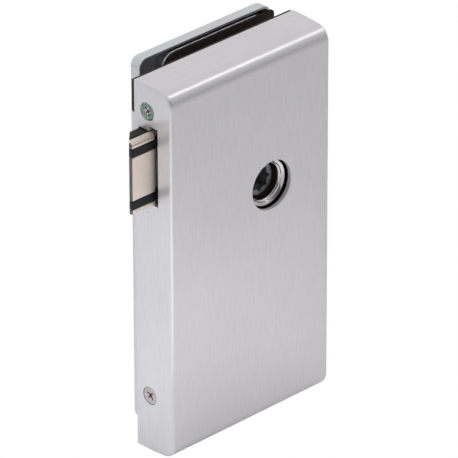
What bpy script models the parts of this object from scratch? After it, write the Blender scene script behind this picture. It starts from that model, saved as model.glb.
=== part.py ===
# Glass door lock with a spring latch, clamped on a glass leaf near its edge.
# X runs from the latch side into the door, Y from the front cover to the rear cap, Z up.
# The origin is the lower corner of the front cover at its latch side.

import math

import bmesh
import bpy
from mathutils import Matrix, Vector

MM = 0.001

# How near a corner has to lie to a face to count as being on it
SLACK = 0.001 * MM
MERGE_DISTANCE = 0.01 * MM

# Gaps between pieces that touch, slide or are screwed, and what solids overlap before a Boolean
SEAT_GAP = 0.3 * MM
RUNNING_GAP = 0.3 * MM
SCREW_GAP = 0.3 * MM
OVERLAP = 1 * MM
EDGE_STEP = 0.2 * MM

# Front cover
BACKSET = 55 * MM
HUB_TO_FAR_SIDE = 32 * MM
COVER_WIDTH = BACKSET + HUB_TO_FAR_SIDE
COVER_HEIGHT = 165 * MM
COVER_DEPTH = 21 * MM
COVER_WALL = 1.8 * MM
COVER_SIDE_WALL = 2.5 * MM
COVER_EDGE_RADIUS = 6.6 * MM
COVER_SIDE_RADIUS = 1.3 * MM

# Sandwich behind the cover
FRONT_GASKET_THICKNESS = 1.3 * MM
GLASS_THICKNESS = 8 * MM
REAR_GASKET_THICKNESS = 1.1 * MM
PLATE_THICKNESS = 4.3 * MM
CAP_WALL = 0.9 * MM
CAP_DEPTH = 5.3 * MM

# Handle bore and its rings
HANDLE_HOLE_RADIUS = 10.7 * MM
HANDLE_HOLE_CHAMFER = 0.3 * MM
SPINDLE_SQUARE = 8.2 * MM
RING_BORE_GAP = 0.4 * MM
RING_SHOULDER = 1.7 * MM
RING_SHOULDER_TOP = 0.7 * MM
RING_SHOULDER_BASE = 1.2 * MM
RING_FLOOR = 1.5 * MM
RING_CREST = 0.7 * MM
RING_ROUND = 0.2 * MM
FRONT_RING_SETBACK = 3.0 * MM
REAR_RING_SETBACK = 1.7 * MM

# Follower and its lever arm
FOLLOWER_RADIUS = 9.5 * MM
JOURNAL_RADIUS = 7.0 * MM
BUSH_WALL = 2.0 * MM
BUSH_STAND = 0.2 * MM
ARM_TIP_RADIUS = 3.0 * MM
ARM_HALF_WIDTH = 2.0 * MM
ARM_ROOT_HALF_WIDTH = 3.2 * MM
ARM_NECK_SHARE = 0.72
ARM_THICKNESS = 3.0 * MM
LUG_REACH = 14 * MM
LUG_TIP_RADIUS = 2.5 * MM
FOLLOWER_TURN = math.radians(38)

# Latch
LATCH_THROW = 11.2 * MM
LATCH_PROJECTION = 12 * MM
LATCH_HEIGHT = 31.6 * MM
LATCH_BACK_GAP = 0.4 * MM
LATCH_NOSE = 1.6 * MM
LATCH_EDGE_RADIUS = 0.6 * MM
LATCH_METAL_THICKNESS = 3.3 * MM
LATCH_ROOT_START = 6 * MM
LATCH_ROOT_END = 14 * MM
LATCH_SEAT_LENGTH = 4 * MM
RIDGE_HEIGHT = 2.7 * MM
BAND_HEIGHT = 3.6 * MM
LOWER_STRIP_HEIGHT = 2.2 * MM
BAND_GAP = 0.2 * MM

# Latch tail, its fork, guide slot and rivets
TAIL_THICKNESS = 2.0 * MM
TAIL_HEIGHT = 15.3 * MM
TAIL_START = 8.3 * MM
FORK_PLAY = 0.35 * MM
FORK_ROOF = 0.5 * MM
FORK_REACH = 1.95 * MM
FORK_FAR_LENGTH = 12.6 * MM
FORK_WALL = 4 * MM
FORK_NECK_DROP = 6 * MM
FORK_NECK_START = 1 * MM
FORK_NECK_SLOPE = 6 * MM
TAIL_CORNER = 1 * MM
FORK_CORNER = 1.5 * MM
NECK_CORNER = 2 * MM
ARM_TIP_RISE = 0.31 * MM
TAIL_PIN_DISTANCE = 13.4 * MM
TAIL_PIN_RADIUS = 2 * MM
TAIL_SLOT_PLAY = 0.4 * MM
RIVET_RADIUS = 1.5 * MM
RIVET_PLACE = 11 * MM
RIVET_SPREAD = 5 * MM
RIVET_HEAD_REACH = 1 * MM
RIVET_HEAD_HEIGHT = 0.9 * MM

# Case round the mechanism
BASE_THICKNESS = 2.5 * MM
BASE_CORNER = 1 * MM
LID_THICKNESS = 2.0 * MM
LID_BACK_SHARE = 9.4 / 21
LID_RELIEF = 0.4 * MM
LID_CORNER = 3 * MM
LID_LEFT = 7 * MM
LID_RIGHT_INSET = 8.5 * MM
LID_TOP_DROP = 8.5 * MM
LID_BELOW_HUB = 22.1 * MM
RAIL_THICKNESS = 2.0 * MM
RAIL_START = 3.0 * MM
RAIL_OVERRUN = 2.0 * MM
STACK_GAP = 1.2 * MM

# Pillars that carry the lid, and the lid's screws
PILLAR_RADIUS = 3.5 * MM
PILLAR_BORE = 1.8 * MM
PILLAR_TOP_DROP = 13 * MM
PILLAR_BELOW_HUB = 17.6 * MM
UPPER_PILLAR_LEFT = 20 * MM
UPPER_PILLAR_RIGHT_INSET = 25 * MM
LOWER_PILLAR_LEFT = 14 * MM
LOWER_PILLAR_RIGHT_INSET = 13 * MM
LID_SCREW_RADIUS = 1.5 * MM
LID_HEAD_RADIUS = 2.8 * MM
LID_HEAD_HEIGHT = 1.8 * MM
LID_HEAD_ROUND = 0.6 * MM
LID_SCREW_LENGTH = 9 * MM

# Stop pins beside the arm
STOP_RADIUS = 2 * MM
STOP_REACH = 11.5 * MM
STOP_OFFSET = 4.75 * MM

# Latch opening and the lip beside it
OPENING_BEFORE_LATCH = 1.9 * MM
OPENING_RELIEF = 0.3 * MM
NOTCH_DEPTH = 5.0 * MM
NOTCH_RISE = 2.1 * MM
LIP_HALF_HEIGHT = 21.3 * MM

# Snap tongues at the far side
TONGUE_HALF = 5 * MM
TONGUE_INSET = 35 * MM
TONGUE_THICKNESS = 3.5 * MM
TONGUE_LENGTH = 7 * MM
NOSE_SETBACK = 1.5 * MM
NOSE_LENGTH = 2 * MM
NOSE_REACH = 1.2 * MM

# Side screws
SIDE_SCREW_BEFORE_MIDDLE = 0.35 * MM
UPPER_SCREW_DROP = 11.5 * MM
LOWER_SCREW_RISE = 25 * MM
SIDE_HEAD_RADIUS = 3.7 * MM
SIDE_HEAD_RIM = 0.2 * MM
SIDE_HEAD_SINK = 0.15 * MM
HEAD_GAP = 0.22 * MM
SIDE_SHANK_RADIUS = 2.0 * MM
SIDE_SCREW_LENGTH = 11 * MM
SCREW_BLOCK_LENGTH = 9.2 * MM
SCREW_BLOCK_HALF = 5 * MM
CROSS_REACH = 2.1 * MM
CROSS_HALF_WIDTH = 0.55 * MM
CROSS_DEPTH = 1.4 * MM

# Clamp screws and the sleeves round them
CLAMP_LEFT = 35 * MM
CLAMP_RIGHT_INSET = 11 * MM
CLAMP_INSET = 15 * MM
CLAMP_SHANK_RADIUS = 3.0 * MM
CLAMP_HEAD_RADIUS = 6.0 * MM
CLAMP_HEAD_RIM = 0.3 * MM
CLAMP_HEAD_SINK = 0.2 * MM
CLAMP_BOSS_RADIUS = 6.0 * MM
CLAMP_BOSS_HEIGHT = 7 * MM
CLAMP_TIP_RELIEF = 0.5 * MM
SLEEVE_RADIUS = 6 * MM

# Front gasket, inset from the cover's edges
GASKET_EDGE_INSET = 0.4 * MM
GASKET_FLUSH_INSET = 0.2 * MM
GASKET_SIDE_INSET = 1.7 * MM

# Clamping plate and rear gasket
PLATE_LEFT = 25.8 * MM
PLATE_RIGHT_INSET = 4 * MM
PLATE_EDGE_INSET = 2.7 * MM
PLATE_CORNER = 6.5 * MM
PLATE_BEVEL = 0.4 * MM
REAR_GASKET_RIGHT_INSET = 1.1 * MM
REAR_GASKET_CORNER = 1.5 * MM

# Rear cap and the blocks under its free side
CAP_LEFT = 12.4 * MM
CAP_RIGHT_INSET = 2.7 * MM
CAP_CORNER = 4 * MM
CAP_BACK_RADIUS = 2.8 * MM
CAP_BLOCK_SHARES = (50 / 165, 115 / 165)
CAP_BLOCK_HALF = 10 * MM
CAP_BLOCK_RELIEF = 0.5 * MM

# Springs, with the blocks and pins that hold them
SPRING_WIRE_RADIUS = 0.4 * MM
SPRING_COIL_RADIUS = 2.4 * MM
SPRING_TURNS = 8.5
SPRING_ROOF = 1.6 * MM
SPRING_SEAT_RIM = 1 * MM
LATCH_SPRING_LENGTH = 25.4 * MM
RETURN_SPRING_LENGTH = 26.45 * MM
SPRING_PIN_RADIUS = 1.5 * MM
SPRING_PIN_LENGTH = 10 * MM
STOP_BLOCK_LENGTH = 4 * MM

# Roundness of the meshes
CIRCLE_STEPS = 32
HEAD_STEPS = 24
PIN_STEPS = 16
ARC_STEPS = 6

# Places along Y: lid and base plate stand in the cover, and the latch fills the case between them.
BASE_FRONT = COVER_DEPTH - BASE_THICKNESS
LID_BACK = COVER_DEPTH * LID_BACK_SHARE
LID_FRONT = LID_BACK - LID_THICKNESS
CASE_MIDDLE = (LID_BACK + BASE_FRONT) / 2
LATCH_FRONT = LID_BACK + LID_RELIEF
LATCH_BACK = BASE_FRONT - LATCH_BACK_GAP
LATCH_THICKNESS = LATCH_BACK - LATCH_FRONT
OPENING_FRONT = LATCH_FRONT - OPENING_BEFORE_LATCH
TONGUE_FRONT = BASE_FRONT - TONGUE_LENGTH
NOSE_FRONT = TONGUE_FRONT + NOSE_SETBACK
NOSE_BACK = NOSE_FRONT + NOSE_LENGTH
SIDE_SCREW_DEPTH = CASE_MIDDLE - SIDE_SCREW_BEFORE_MIDDLE
SPRING_DEPTH = CASE_MIDDLE
METAL_BACK = LATCH_FRONT + LATCH_METAL_THICKNESS
TAIL_FRONT = METAL_BACK + SEAT_GAP
TAIL_BACK = TAIL_FRONT + TAIL_THICKNESS
ARM_FRONT = (TAIL_FRONT + TAIL_BACK - ARM_THICKNESS) / 2
ARM_BACK = ARM_FRONT + ARM_THICKNESS
FRONT_GASKET_FRONT = COVER_DEPTH + SEAT_GAP
GLASS_FRONT = FRONT_GASKET_FRONT + FRONT_GASKET_THICKNESS
GLASS_BACK = GLASS_FRONT + GLASS_THICKNESS
REAR_GASKET_BACK = GLASS_BACK + REAR_GASKET_THICKNESS
PLATE_FRONT = REAR_GASKET_BACK + SEAT_GAP
PLATE_BACK = PLATE_FRONT + PLATE_THICKNESS
CAP_INNER_BACK = PLATE_BACK + SEAT_GAP
CAP_BACK = CAP_INNER_BACK + CAP_WALL
CAP_RIM = CAP_BACK - CAP_DEPTH
REAR_RING_FACE = CAP_BACK - REAR_RING_SETBACK

# Heights: the latch hangs under the upper screw's block and rail, the handle under the latch.
UPPER_SCREW_HEIGHT = COVER_HEIGHT - UPPER_SCREW_DROP
LATCH_TOP = UPPER_SCREW_HEIGHT - SCREW_BLOCK_HALF - STACK_GAP - RAIL_THICKNESS - RUNNING_GAP
LATCH_BOTTOM = LATCH_TOP - LATCH_HEIGHT
LATCH_CENTRE_HEIGHT = (LATCH_TOP + LATCH_BOTTOM) / 2
BAND_TOPS = (LATCH_TOP - RIDGE_HEIGHT, LATCH_BOTTOM + LOWER_STRIP_HEIGHT + BAND_HEIGHT)
LATCH_SPRING_HEIGHT = LATCH_TOP - SPRING_ROOF - SPRING_WIRE_RADIUS - SPRING_COIL_RADIUS
SPRING_SEAT_LOW = LATCH_SPRING_HEIGHT - SPRING_COIL_RADIUS - SPRING_SEAT_RIM
TAIL_HIGH = SPRING_SEAT_LOW - FORK_PLAY
TAIL_LOW = TAIL_HIGH - TAIL_HEIGHT
TAIL_MIDDLE = (TAIL_LOW + TAIL_HIGH) / 2
PRONG_LOW = TAIL_LOW - FORK_REACH
RIVET_HEIGHTS = (TAIL_MIDDLE - RIVET_SPREAD, TAIL_MIDDLE + RIVET_SPREAD)

# The arm swings evenly to both sides of upright, so its tip keeps to the latch tail's speed.
ARM_REST_ANGLE = FOLLOWER_TURN / 2
ARM_REACH = LATCH_THROW / (2 * math.sin(ARM_REST_ANGLE))
ARM_TIP_X = BACKSET - ARM_REACH * math.sin(ARM_REST_ANGLE)
ARM_TIP_LOWEST = TAIL_LOW + ARM_TIP_RISE
HANDLE_HEIGHT = ARM_TIP_LOWEST - ARM_REACH * math.cos(ARM_REST_ANGLE)
HUB = (BACKSET, HANDLE_HEIGHT)
ARM_TIP_HIGHEST = HANDLE_HEIGHT + ARM_REACH + ARM_TIP_RADIUS
LUG_TIP_X = BACKSET + LUG_REACH * math.sin(ARM_REST_ANGLE)
LUG_TIP_HEIGHT = HANDLE_HEIGHT - LUG_REACH * math.cos(ARM_REST_ANGLE)
BUSH_OUTER = JOURNAL_RADIUS + RUNNING_GAP + BUSH_WALL
BUSH_SEAT = BUSH_OUTER + SEAT_GAP

# Places along X and Z
TAIL_PIN_PLACE = ARM_TIP_X - TAIL_PIN_DISTANCE
TAIL_END = ARM_TIP_X + FORK_FAR_LENGTH
LATCH_SPRING_STOP = LATCH_ROOT_END + LATCH_SPRING_LENGTH + 2 * SEAT_GAP
RETURN_SPRING_END = LUG_TIP_X - LUG_TIP_RADIUS - SEAT_GAP
RETURN_SPRING_START = RETURN_SPRING_END - RETURN_SPRING_LENGTH
RETURN_STOP_END = RETURN_SPRING_START - SEAT_GAP
TONGUE_HEIGHTS = (TONGUE_INSET, COVER_HEIGHT - TONGUE_INSET)
LID_RIGHT = COVER_WIDTH - LID_RIGHT_INSET
LID_LOW = HANDLE_HEIGHT - LID_BELOW_HUB
LID_HIGH = COVER_HEIGHT - LID_TOP_DROP
PLATE_RIGHT = COVER_WIDTH - PLATE_RIGHT_INSET
PLATE_TOP = COVER_HEIGHT - PLATE_EDGE_INSET
REAR_GASKET_RIGHT = COVER_WIDTH - REAR_GASKET_RIGHT_INSET
CAP_RIGHT = COVER_WIDTH - CAP_RIGHT_INSET
PILLAR_PLACES = (
    (UPPER_PILLAR_LEFT, COVER_HEIGHT - PILLAR_TOP_DROP),
    (COVER_WIDTH - UPPER_PILLAR_RIGHT_INSET, COVER_HEIGHT - PILLAR_TOP_DROP),
    (LOWER_PILLAR_LEFT, HANDLE_HEIGHT - PILLAR_BELOW_HUB),
    (COVER_WIDTH - LOWER_PILLAR_RIGHT_INSET, HANDLE_HEIGHT - PILLAR_BELOW_HUB),
)
CLAMP_PLACES = [
    (x, z)
    for x in (CLAMP_LEFT, COVER_WIDTH - CLAMP_RIGHT_INSET)
    for z in (CLAMP_INSET, COVER_HEIGHT - CLAMP_INSET)
]


def clear_scene():
    for obj in list(bpy.data.objects):
        bpy.data.objects.remove(obj, do_unlink=True)


def new_collection(name):
    collection = bpy.data.collections.new(name)
    bpy.context.scene.collection.children.link(collection)
    return collection


clear_scene()
LOCK = new_collection("glass_door_lock")
CUTTERS = new_collection("cutters")


def linear(channel):
    return channel / 12.92 if channel <= 0.04045 else ((channel + 0.055) / 1.055) ** 2.4


def material(name, hex_colour, roughness, metallic):
    found = bpy.data.materials.get(name)
    if found:
        return found
    made = bpy.data.materials.new(name)
    made.use_nodes = True
    shader = made.node_tree.nodes["Principled BSDF"]
    channels = [int(hex_colour[i : i + 2], 16) / 255 for i in (0, 2, 4)]
    colour = [linear(c) for c in channels] + [1.0]
    shader.inputs["Base Color"].default_value = colour
    shader.inputs["Roughness"].default_value = roughness
    shader.inputs["Metallic"].default_value = metallic
    made.diffuse_color = colour
    return made


def brushed_aluminium():
    return material("brushed_aluminium", "C4C4C7", 0.38, 1.0)


def sheet_steel():
    return material("sheet_steel", "8E9094", 0.45, 1.0)


def polished_steel():
    return material("polished_steel", "C9C9CB", 0.12, 1.0)


def latch_metal():
    return material("latch_metal", "CFC6BD", 0.35, 1.0)


def die_cast_zinc():
    return material("die_cast_zinc", "AEB1B8", 0.4, 1.0)


def black_rubber():
    return material("black_rubber", "1A1817", 0.85, 0.0)


def black_plastic():
    return material("black_plastic", "232226", 0.5, 0.0)


def acetal():
    return material("acetal", "2E2B29", 0.45, 0.0)


def sintered_bronze():
    return material("sintered_bronze", "8A6B45", 0.5, 1.0)


def spring_steel():
    return material("spring_steel", "9A9CA0", 0.25, 1.0)


def green_zinc():
    return material("green_passivated_zinc", "6E9A8E", 0.35, 1.0)


def bright_zinc():
    return material("bright_zinc", "B7B0AE", 0.35, 1.0)


def place(obj, name, finish):
    obj.name = name
    obj.data.name = name
    for collection in list(obj.users_collection):
        collection.objects.unlink(obj)
    LOCK.objects.link(obj)
    obj.data.materials.clear()
    obj.data.materials.append(finish)
    obj.data.shade_smooth()
    obj.data.set_sharp_from_angle(angle=math.radians(30))
    return obj


def helper(obj):
    """A cutter, or a solid that a Boolean joins to its piece: it is never drawn."""
    for collection in list(obj.users_collection):
        collection.objects.unlink(obj)
    CUTTERS.objects.link(obj)
    obj.hide_render = True
    obj.display_type = "WIRE"
    return obj


def rounded(corners, steps=ARC_STEPS):
    """An outline through (u, v, radius) corners, each with an arc of its own radius."""
    points = []
    for i, (u, v, radius) in enumerate(corners):
        here = Vector((u, v))
        if radius <= 0:
            points.append(here)
            continue
        before = Vector(corners[i - 1][:2])
        after = Vector(corners[(i + 1) % len(corners)][:2])
        into = (before - here).normalized()
        out = (after - here).normalized()
        half = into.angle(out) / 2
        centre = here + (into + out).normalized() * radius / math.sin(half)
        first = here + into * radius / math.tan(half) - centre
        last = here + out * radius / math.tan(half) - centre
        sweep = first.angle_signed(last)
        start = math.atan2(first.y, first.x)
        for k in range(steps + 1):
            angle = start - sweep * k / steps
            points.append(centre + radius * Vector((math.cos(angle), math.sin(angle))))
    return points


def rounded_box(low_u, low_v, high_u, high_v, radius, steps=ARC_STEPS):
    corners = [
        (low_u, low_v, radius),
        (high_u, low_v, radius),
        (high_u, high_v, radius),
        (low_u, high_v, radius),
    ]
    return rounded(corners, steps)


def circle(u, v, radius, steps=CIRCLE_STEPS):
    turn = 2 * math.pi / steps
    return [
        Vector((u + radius * math.cos(i * turn), v + radius * math.sin(i * turn)))
        for i in range(steps)
    ]


def extruded(outlines, axis, low, high):
    """A flat outline with its holes, drawn as a 2D curve and given its thickness along X or Y."""
    curve = bpy.data.curves.new("outline", "CURVE")
    curve.dimensions = "2D"
    curve.fill_mode = "BOTH"
    curve.extrude = (high - low) / 2
    for outline in outlines:
        spline = curve.splines.new("POLY")
        spline.points.add(len(outline) - 1)
        for point, (u, v) in zip(spline.points, outline):
            point.co = (u, v, 0, 1)
        spline.use_cyclic_u = True
    drawn = bpy.data.objects.new("outline", curve)
    CUTTERS.objects.link(drawn)
    graph = bpy.context.evaluated_depsgraph_get()
    mesh = bpy.data.meshes.new_from_object(drawn.evaluated_get(graph))
    bpy.data.objects.remove(drawn, do_unlink=True)
    bpy.data.curves.remove(curve)
    middle = (low + high) / 2
    if axis == "Y":
        turn = Matrix(((1, 0, 0, 0), (0, 0, -1, middle), (0, 1, 0, 0), (0, 0, 0, 1)))
    else:
        turn = Matrix(((0, 0, 1, middle), (1, 0, 0, 0), (0, 1, 0, 0), (0, 0, 0, 1)))
    mesh.transform(turn)
    shape = bmesh.new()
    shape.from_mesh(mesh)
    bmesh.ops.remove_doubles(shape, verts=shape.verts, dist=MERGE_DISTANCE)
    if len(outlines) == 1:
        bmesh.ops.dissolve_limit(
            shape, angle_limit=math.radians(0.5), verts=shape.verts, edges=shape.edges
        )
    bmesh.ops.recalc_face_normals(shape, faces=shape.faces)
    shape.to_mesh(mesh)
    shape.free()
    obj = bpy.data.objects.new("extruded", mesh)
    CUTTERS.objects.link(obj)
    return obj


def block(low, high):
    """A box between two corners."""
    middle = [(a + b) / 2 for a, b in zip(low, high)]
    size = [b - a for a, b in zip(low, high)]
    bpy.ops.mesh.primitive_cube_add(size=1, location=middle)
    obj = bpy.context.object
    obj.scale = size
    bpy.ops.object.transform_apply(location=True, rotation=True, scale=True)
    return obj


def turned(profile, axis, place_on_axis, steps=CIRCLE_STEPS):
    """A turned solid: (radius, distance) points along X or Y, down the outer side and up any bore."""
    mesh = bpy.data.meshes.new("turned")
    corners = [(radius, 0, along) for radius, along in profile]
    count = len(corners)
    open_ends = min(radius for radius, along in profile) < SLACK
    edges = [(i, i + 1) for i in range(count - 1)]
    if not open_ends:
        edges.append((count - 1, 0))
    mesh.from_pydata(corners, edges, [])
    obj = bpy.data.objects.new("turned", mesh)
    CUTTERS.objects.link(obj)
    screw = obj.modifiers.new("turn", "SCREW")
    screw.angle = 2 * math.pi
    screw.steps = steps
    screw.render_steps = steps
    screw.use_merge_vertices = True
    screw.merge_threshold = MERGE_DISTANCE
    if axis == "Y":
        obj.rotation_euler = (-math.pi / 2, 0, 0)
        obj.location = (place_on_axis[0], 0, place_on_axis[1])
    else:
        obj.rotation_euler = (0, math.pi / 2, 0)
        obj.location = (0, place_on_axis[0], place_on_axis[1])
    return obj


def tube_profile(outer, inner, low, high):
    return [(outer, high), (outer, low), (inner, low), (inner, high)]


def rod_profile(radius, low, high):
    return [(0, high), (radius, high), (radius, low), (0, low)]


def merged(solids):
    """Several solids that stand clear of each other, as one mesh for one Boolean."""
    bpy.context.view_layer.update()
    graph = bpy.context.evaluated_depsgraph_get()
    shape = bmesh.new()
    for solid in solids:
        mesh = bpy.data.meshes.new_from_object(solid.evaluated_get(graph))
        mesh.transform(solid.matrix_world)
        shape.from_mesh(mesh)
        bpy.data.meshes.remove(mesh)
        bpy.data.objects.remove(solid, do_unlink=True)
    mesh = bpy.data.meshes.new("merged")
    shape.to_mesh(mesh)
    shape.free()
    obj = bpy.data.objects.new("merged", mesh)
    CUTTERS.objects.link(obj)
    return obj


def boolean(obj, other, operation):
    change = obj.modifiers.new(operation.lower(), "BOOLEAN")
    change.operation = operation
    change.solver = "EXACT"
    change.object = helper(other)


def cut(obj, *others):
    for other in others:
        boolean(obj, other, "DIFFERENCE")


def join(obj, *others):
    for other in others:
        boolean(obj, other, "UNION")


def side_wall_outline(inset, front, back, radius):
    """The cover's section across its depth and height, open or closed at the back."""
    return rounded(
        [
            (front, inset, radius),
            (back, inset, 0),
            (back, COVER_HEIGHT - inset, 0),
            (front, COVER_HEIGHT - inset, radius),
        ],
        ARC_STEPS + 2,
    )


def soften_cover_edges(obj):
    """Rounds the two side edges of the front and of its top and bottom bends."""
    shape = bmesh.new()
    shape.from_mesh(obj.data)
    near = COVER_EDGE_RADIUS + SLACK
    edges = []
    for edge in shape.edges:
        a, b = (corner.co for corner in edge.verts)
        on_side = abs(a.x - b.x) < SLACK and min(a.x, COVER_WIDTH - a.x) < SLACK
        if on_side and a.y < near and b.y < near:
            edges.append(edge)
    bmesh.ops.bevel(
        shape,
        geom=edges,
        offset=COVER_SIDE_RADIUS,
        segments=3,
        profile=0.5,
        affect="EDGES",
        clamp_overlap=True,
    )
    shape.to_mesh(obj.data)
    shape.free()


def latch_opening():
    """The opening in the side wall, with the taller stretch at its front."""
    low = LATCH_BOTTOM - OPENING_RELIEF
    high = LATCH_TOP + OPENING_RELIEF
    back = LATCH_BACK + OPENING_RELIEF
    notch_back = OPENING_FRONT + NOTCH_DEPTH
    outline = [
        Vector((OPENING_FRONT, low)),
        Vector((back, low)),
        Vector((back, high)),
        Vector((notch_back, high)),
        Vector((notch_back, high + NOTCH_RISE)),
        Vector((OPENING_FRONT, high + NOTCH_RISE)),
    ]
    return extruded([outline], "X", -OVERLAP, COVER_SIDE_WALL + OVERLAP)


def countersink(height):
    mouth = SIDE_HEAD_RADIUS + HEAD_GAP
    bore = SIDE_SHANK_RADIUS + SCREW_GAP
    cone = SIDE_HEAD_SINK + SIDE_HEAD_RIM + HEAD_GAP
    profile = [
        (0, COVER_SIDE_WALL + OVERLAP),
        (bore, COVER_SIDE_WALL + OVERLAP),
        (bore, cone + mouth - bore),
        (mouth, cone),
        (mouth, -OVERLAP),
        (0, -OVERLAP),
    ]
    return turned(profile, "X", (SIDE_SCREW_DEPTH, height))


def handle_hole(face, inward, wall):
    """A round hole with a chamfered mouth; inward is +1 from the front and -1 from the back."""
    radius = HANDLE_HOLE_RADIUS
    mouth = face - inward * OVERLAP
    bend = face + inward * HANDLE_HOLE_CHAMFER
    end = face + inward * (wall + OVERLAP)
    profile = [
        (0, mouth),
        (radius + HANDLE_HOLE_CHAMFER + OVERLAP, mouth),
        (radius, bend),
        (radius, end),
        (0, end),
    ]
    if inward > 0:
        profile.reverse()
    return turned(profile, "Y", HUB)


def front_cover():
    body = extruded(
        [side_wall_outline(0, 0, COVER_DEPTH, COVER_EDGE_RADIUS)], "X", 0, COVER_WIDTH
    )
    soften_cover_edges(body)
    cover = place(body, "front_cover", brushed_aluminium())
    lip_back = GLASS_FRONT - SEAT_GAP
    lip = block(
        (0, COVER_DEPTH - OVERLAP, LATCH_CENTRE_HEIGHT - LIP_HALF_HEIGHT),
        (COVER_SIDE_WALL + OVERLAP, lip_back, LATCH_CENTRE_HEIGHT + LIP_HALF_HEIGHT),
    )
    join(cover, lip)
    cavity = extruded(
        [
            side_wall_outline(
                COVER_WALL, COVER_WALL, lip_back + OVERLAP, COVER_EDGE_RADIUS - COVER_WALL
            )
        ],
        "X",
        COVER_SIDE_WALL,
        COVER_WIDTH - COVER_SIDE_WALL,
    )
    cut(cover, cavity, latch_opening())
    cut(cover, countersink(UPPER_SCREW_HEIGHT), countersink(LOWER_SCREW_RISE))
    cut(cover, handle_hole(0, 1, COVER_WALL))
    inner_side = COVER_WIDTH - COVER_SIDE_WALL
    for height in TONGUE_HEIGHTS:
        reach = TONGUE_HALF + RUNNING_GAP
        pocket = block(
            (inner_side - OVERLAP, NOSE_FRONT - SEAT_GAP, height - reach),
            (inner_side + NOSE_REACH, NOSE_BACK + SEAT_GAP, height + reach),
        )
        cut(cover, pocket)
    return cover


def base_plate():
    """The plate that carries the mechanism, with its bosses, pillars, screw blocks and tongues."""
    left = COVER_SIDE_WALL + SEAT_GAP
    right = COVER_WIDTH - COVER_SIDE_WALL - SEAT_GAP
    low = COVER_WALL + SEAT_GAP
    high = COVER_HEIGHT - COVER_WALL - SEAT_GAP
    outline = rounded_box(left, low, right, high, BASE_CORNER, 2)
    plate = place(extruded([outline], "Y", BASE_FRONT, COVER_DEPTH), "base_plate", sheet_steel())
    sunk = BASE_FRONT + OVERLAP
    behind = COVER_DEPTH + OVERLAP
    boss_front = BASE_FRONT - CLAMP_BOSS_HEIGHT
    pillar_front = LID_BACK + SEAT_GAP
    bosses = []
    noses = []
    bores = [turned(rod_profile(BUSH_SEAT, BASE_FRONT - OVERLAP, behind), "Y", HUB)]
    for spot in CLAMP_PLACES:
        bosses.append(turned(rod_profile(CLAMP_BOSS_RADIUS, boss_front, sunk), "Y", spot))
        bore = rod_profile(CLAMP_SHANK_RADIUS + SCREW_GAP, boss_front - OVERLAP, behind)
        bores.append(turned(bore, "Y", spot, PIN_STEPS))
    for spot in PILLAR_PLACES:
        pillar = rod_profile(PILLAR_RADIUS, pillar_front, sunk)
        bosses.append(turned(pillar, "Y", spot, PIN_STEPS))
        bore = rod_profile(PILLAR_BORE, pillar_front - OVERLAP, behind)
        bores.append(turned(bore, "Y", spot, PIN_STEPS))
    for height in (LOWER_SCREW_RISE, UPPER_SCREW_HEIGHT):
        block_end = left + SCREW_BLOCK_LENGTH
        screw_block = block(
            (left + EDGE_STEP, pillar_front, height - SCREW_BLOCK_HALF),
            (block_end, sunk, height + SCREW_BLOCK_HALF),
        )
        bosses.append(screw_block)
        bore = rod_profile(SIDE_SHANK_RADIUS + SCREW_GAP, left - OVERLAP, block_end + OVERLAP)
        bores.append(turned(bore, "X", (SIDE_SCREW_DEPTH, height), PIN_STEPS))
    for height in TONGUE_HEIGHTS:
        tongue = block(
            (right - TONGUE_THICKNESS, TONGUE_FRONT, height - TONGUE_HALF),
            (right - EDGE_STEP, sunk, height + TONGUE_HALF),
        )
        nose = block(
            (right - OVERLAP, NOSE_FRONT, height - TONGUE_HALF + RUNNING_GAP),
            (right + NOSE_REACH, NOSE_BACK, height + TONGUE_HALF - RUNNING_GAP),
        )
        bosses.append(tongue)
        noses.append(nose)
    join(plate, merged(bosses), merged(noses))
    cut(plate, merged(bores))
    return plate


def case_lid():
    outline = rounded_box(LID_LEFT, LID_LOW, LID_RIGHT, LID_HIGH, LID_CORNER)
    holes = [circle(BACKSET, HANDLE_HEIGHT, BUSH_SEAT)]
    holes += [circle(x, z, PILLAR_BORE, PIN_STEPS) for x, z in PILLAR_PLACES]
    lid = extruded([outline] + holes, "Y", LID_FRONT, LID_BACK)
    return place(lid, "case_lid", sheet_steel())


def lid_screws():
    head_back = LID_FRONT - SEAT_GAP
    head_front = head_back - LID_HEAD_HEIGHT
    for i, spot in enumerate(PILLAR_PLACES, 1):
        profile = [
            (0, head_back + LID_SCREW_LENGTH),
            (LID_SCREW_RADIUS, head_back + LID_SCREW_LENGTH),
            (LID_SCREW_RADIUS, head_back),
            (LID_HEAD_RADIUS, head_back),
            (LID_HEAD_RADIUS, head_front + LID_HEAD_ROUND),
            (LID_HEAD_RADIUS - LID_HEAD_ROUND, head_front),
            (0, head_front),
        ]
        screw = turned(profile, "Y", spot, PIN_STEPS)
        place(screw, f"lid_screw_{i}", bright_zinc())


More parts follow.
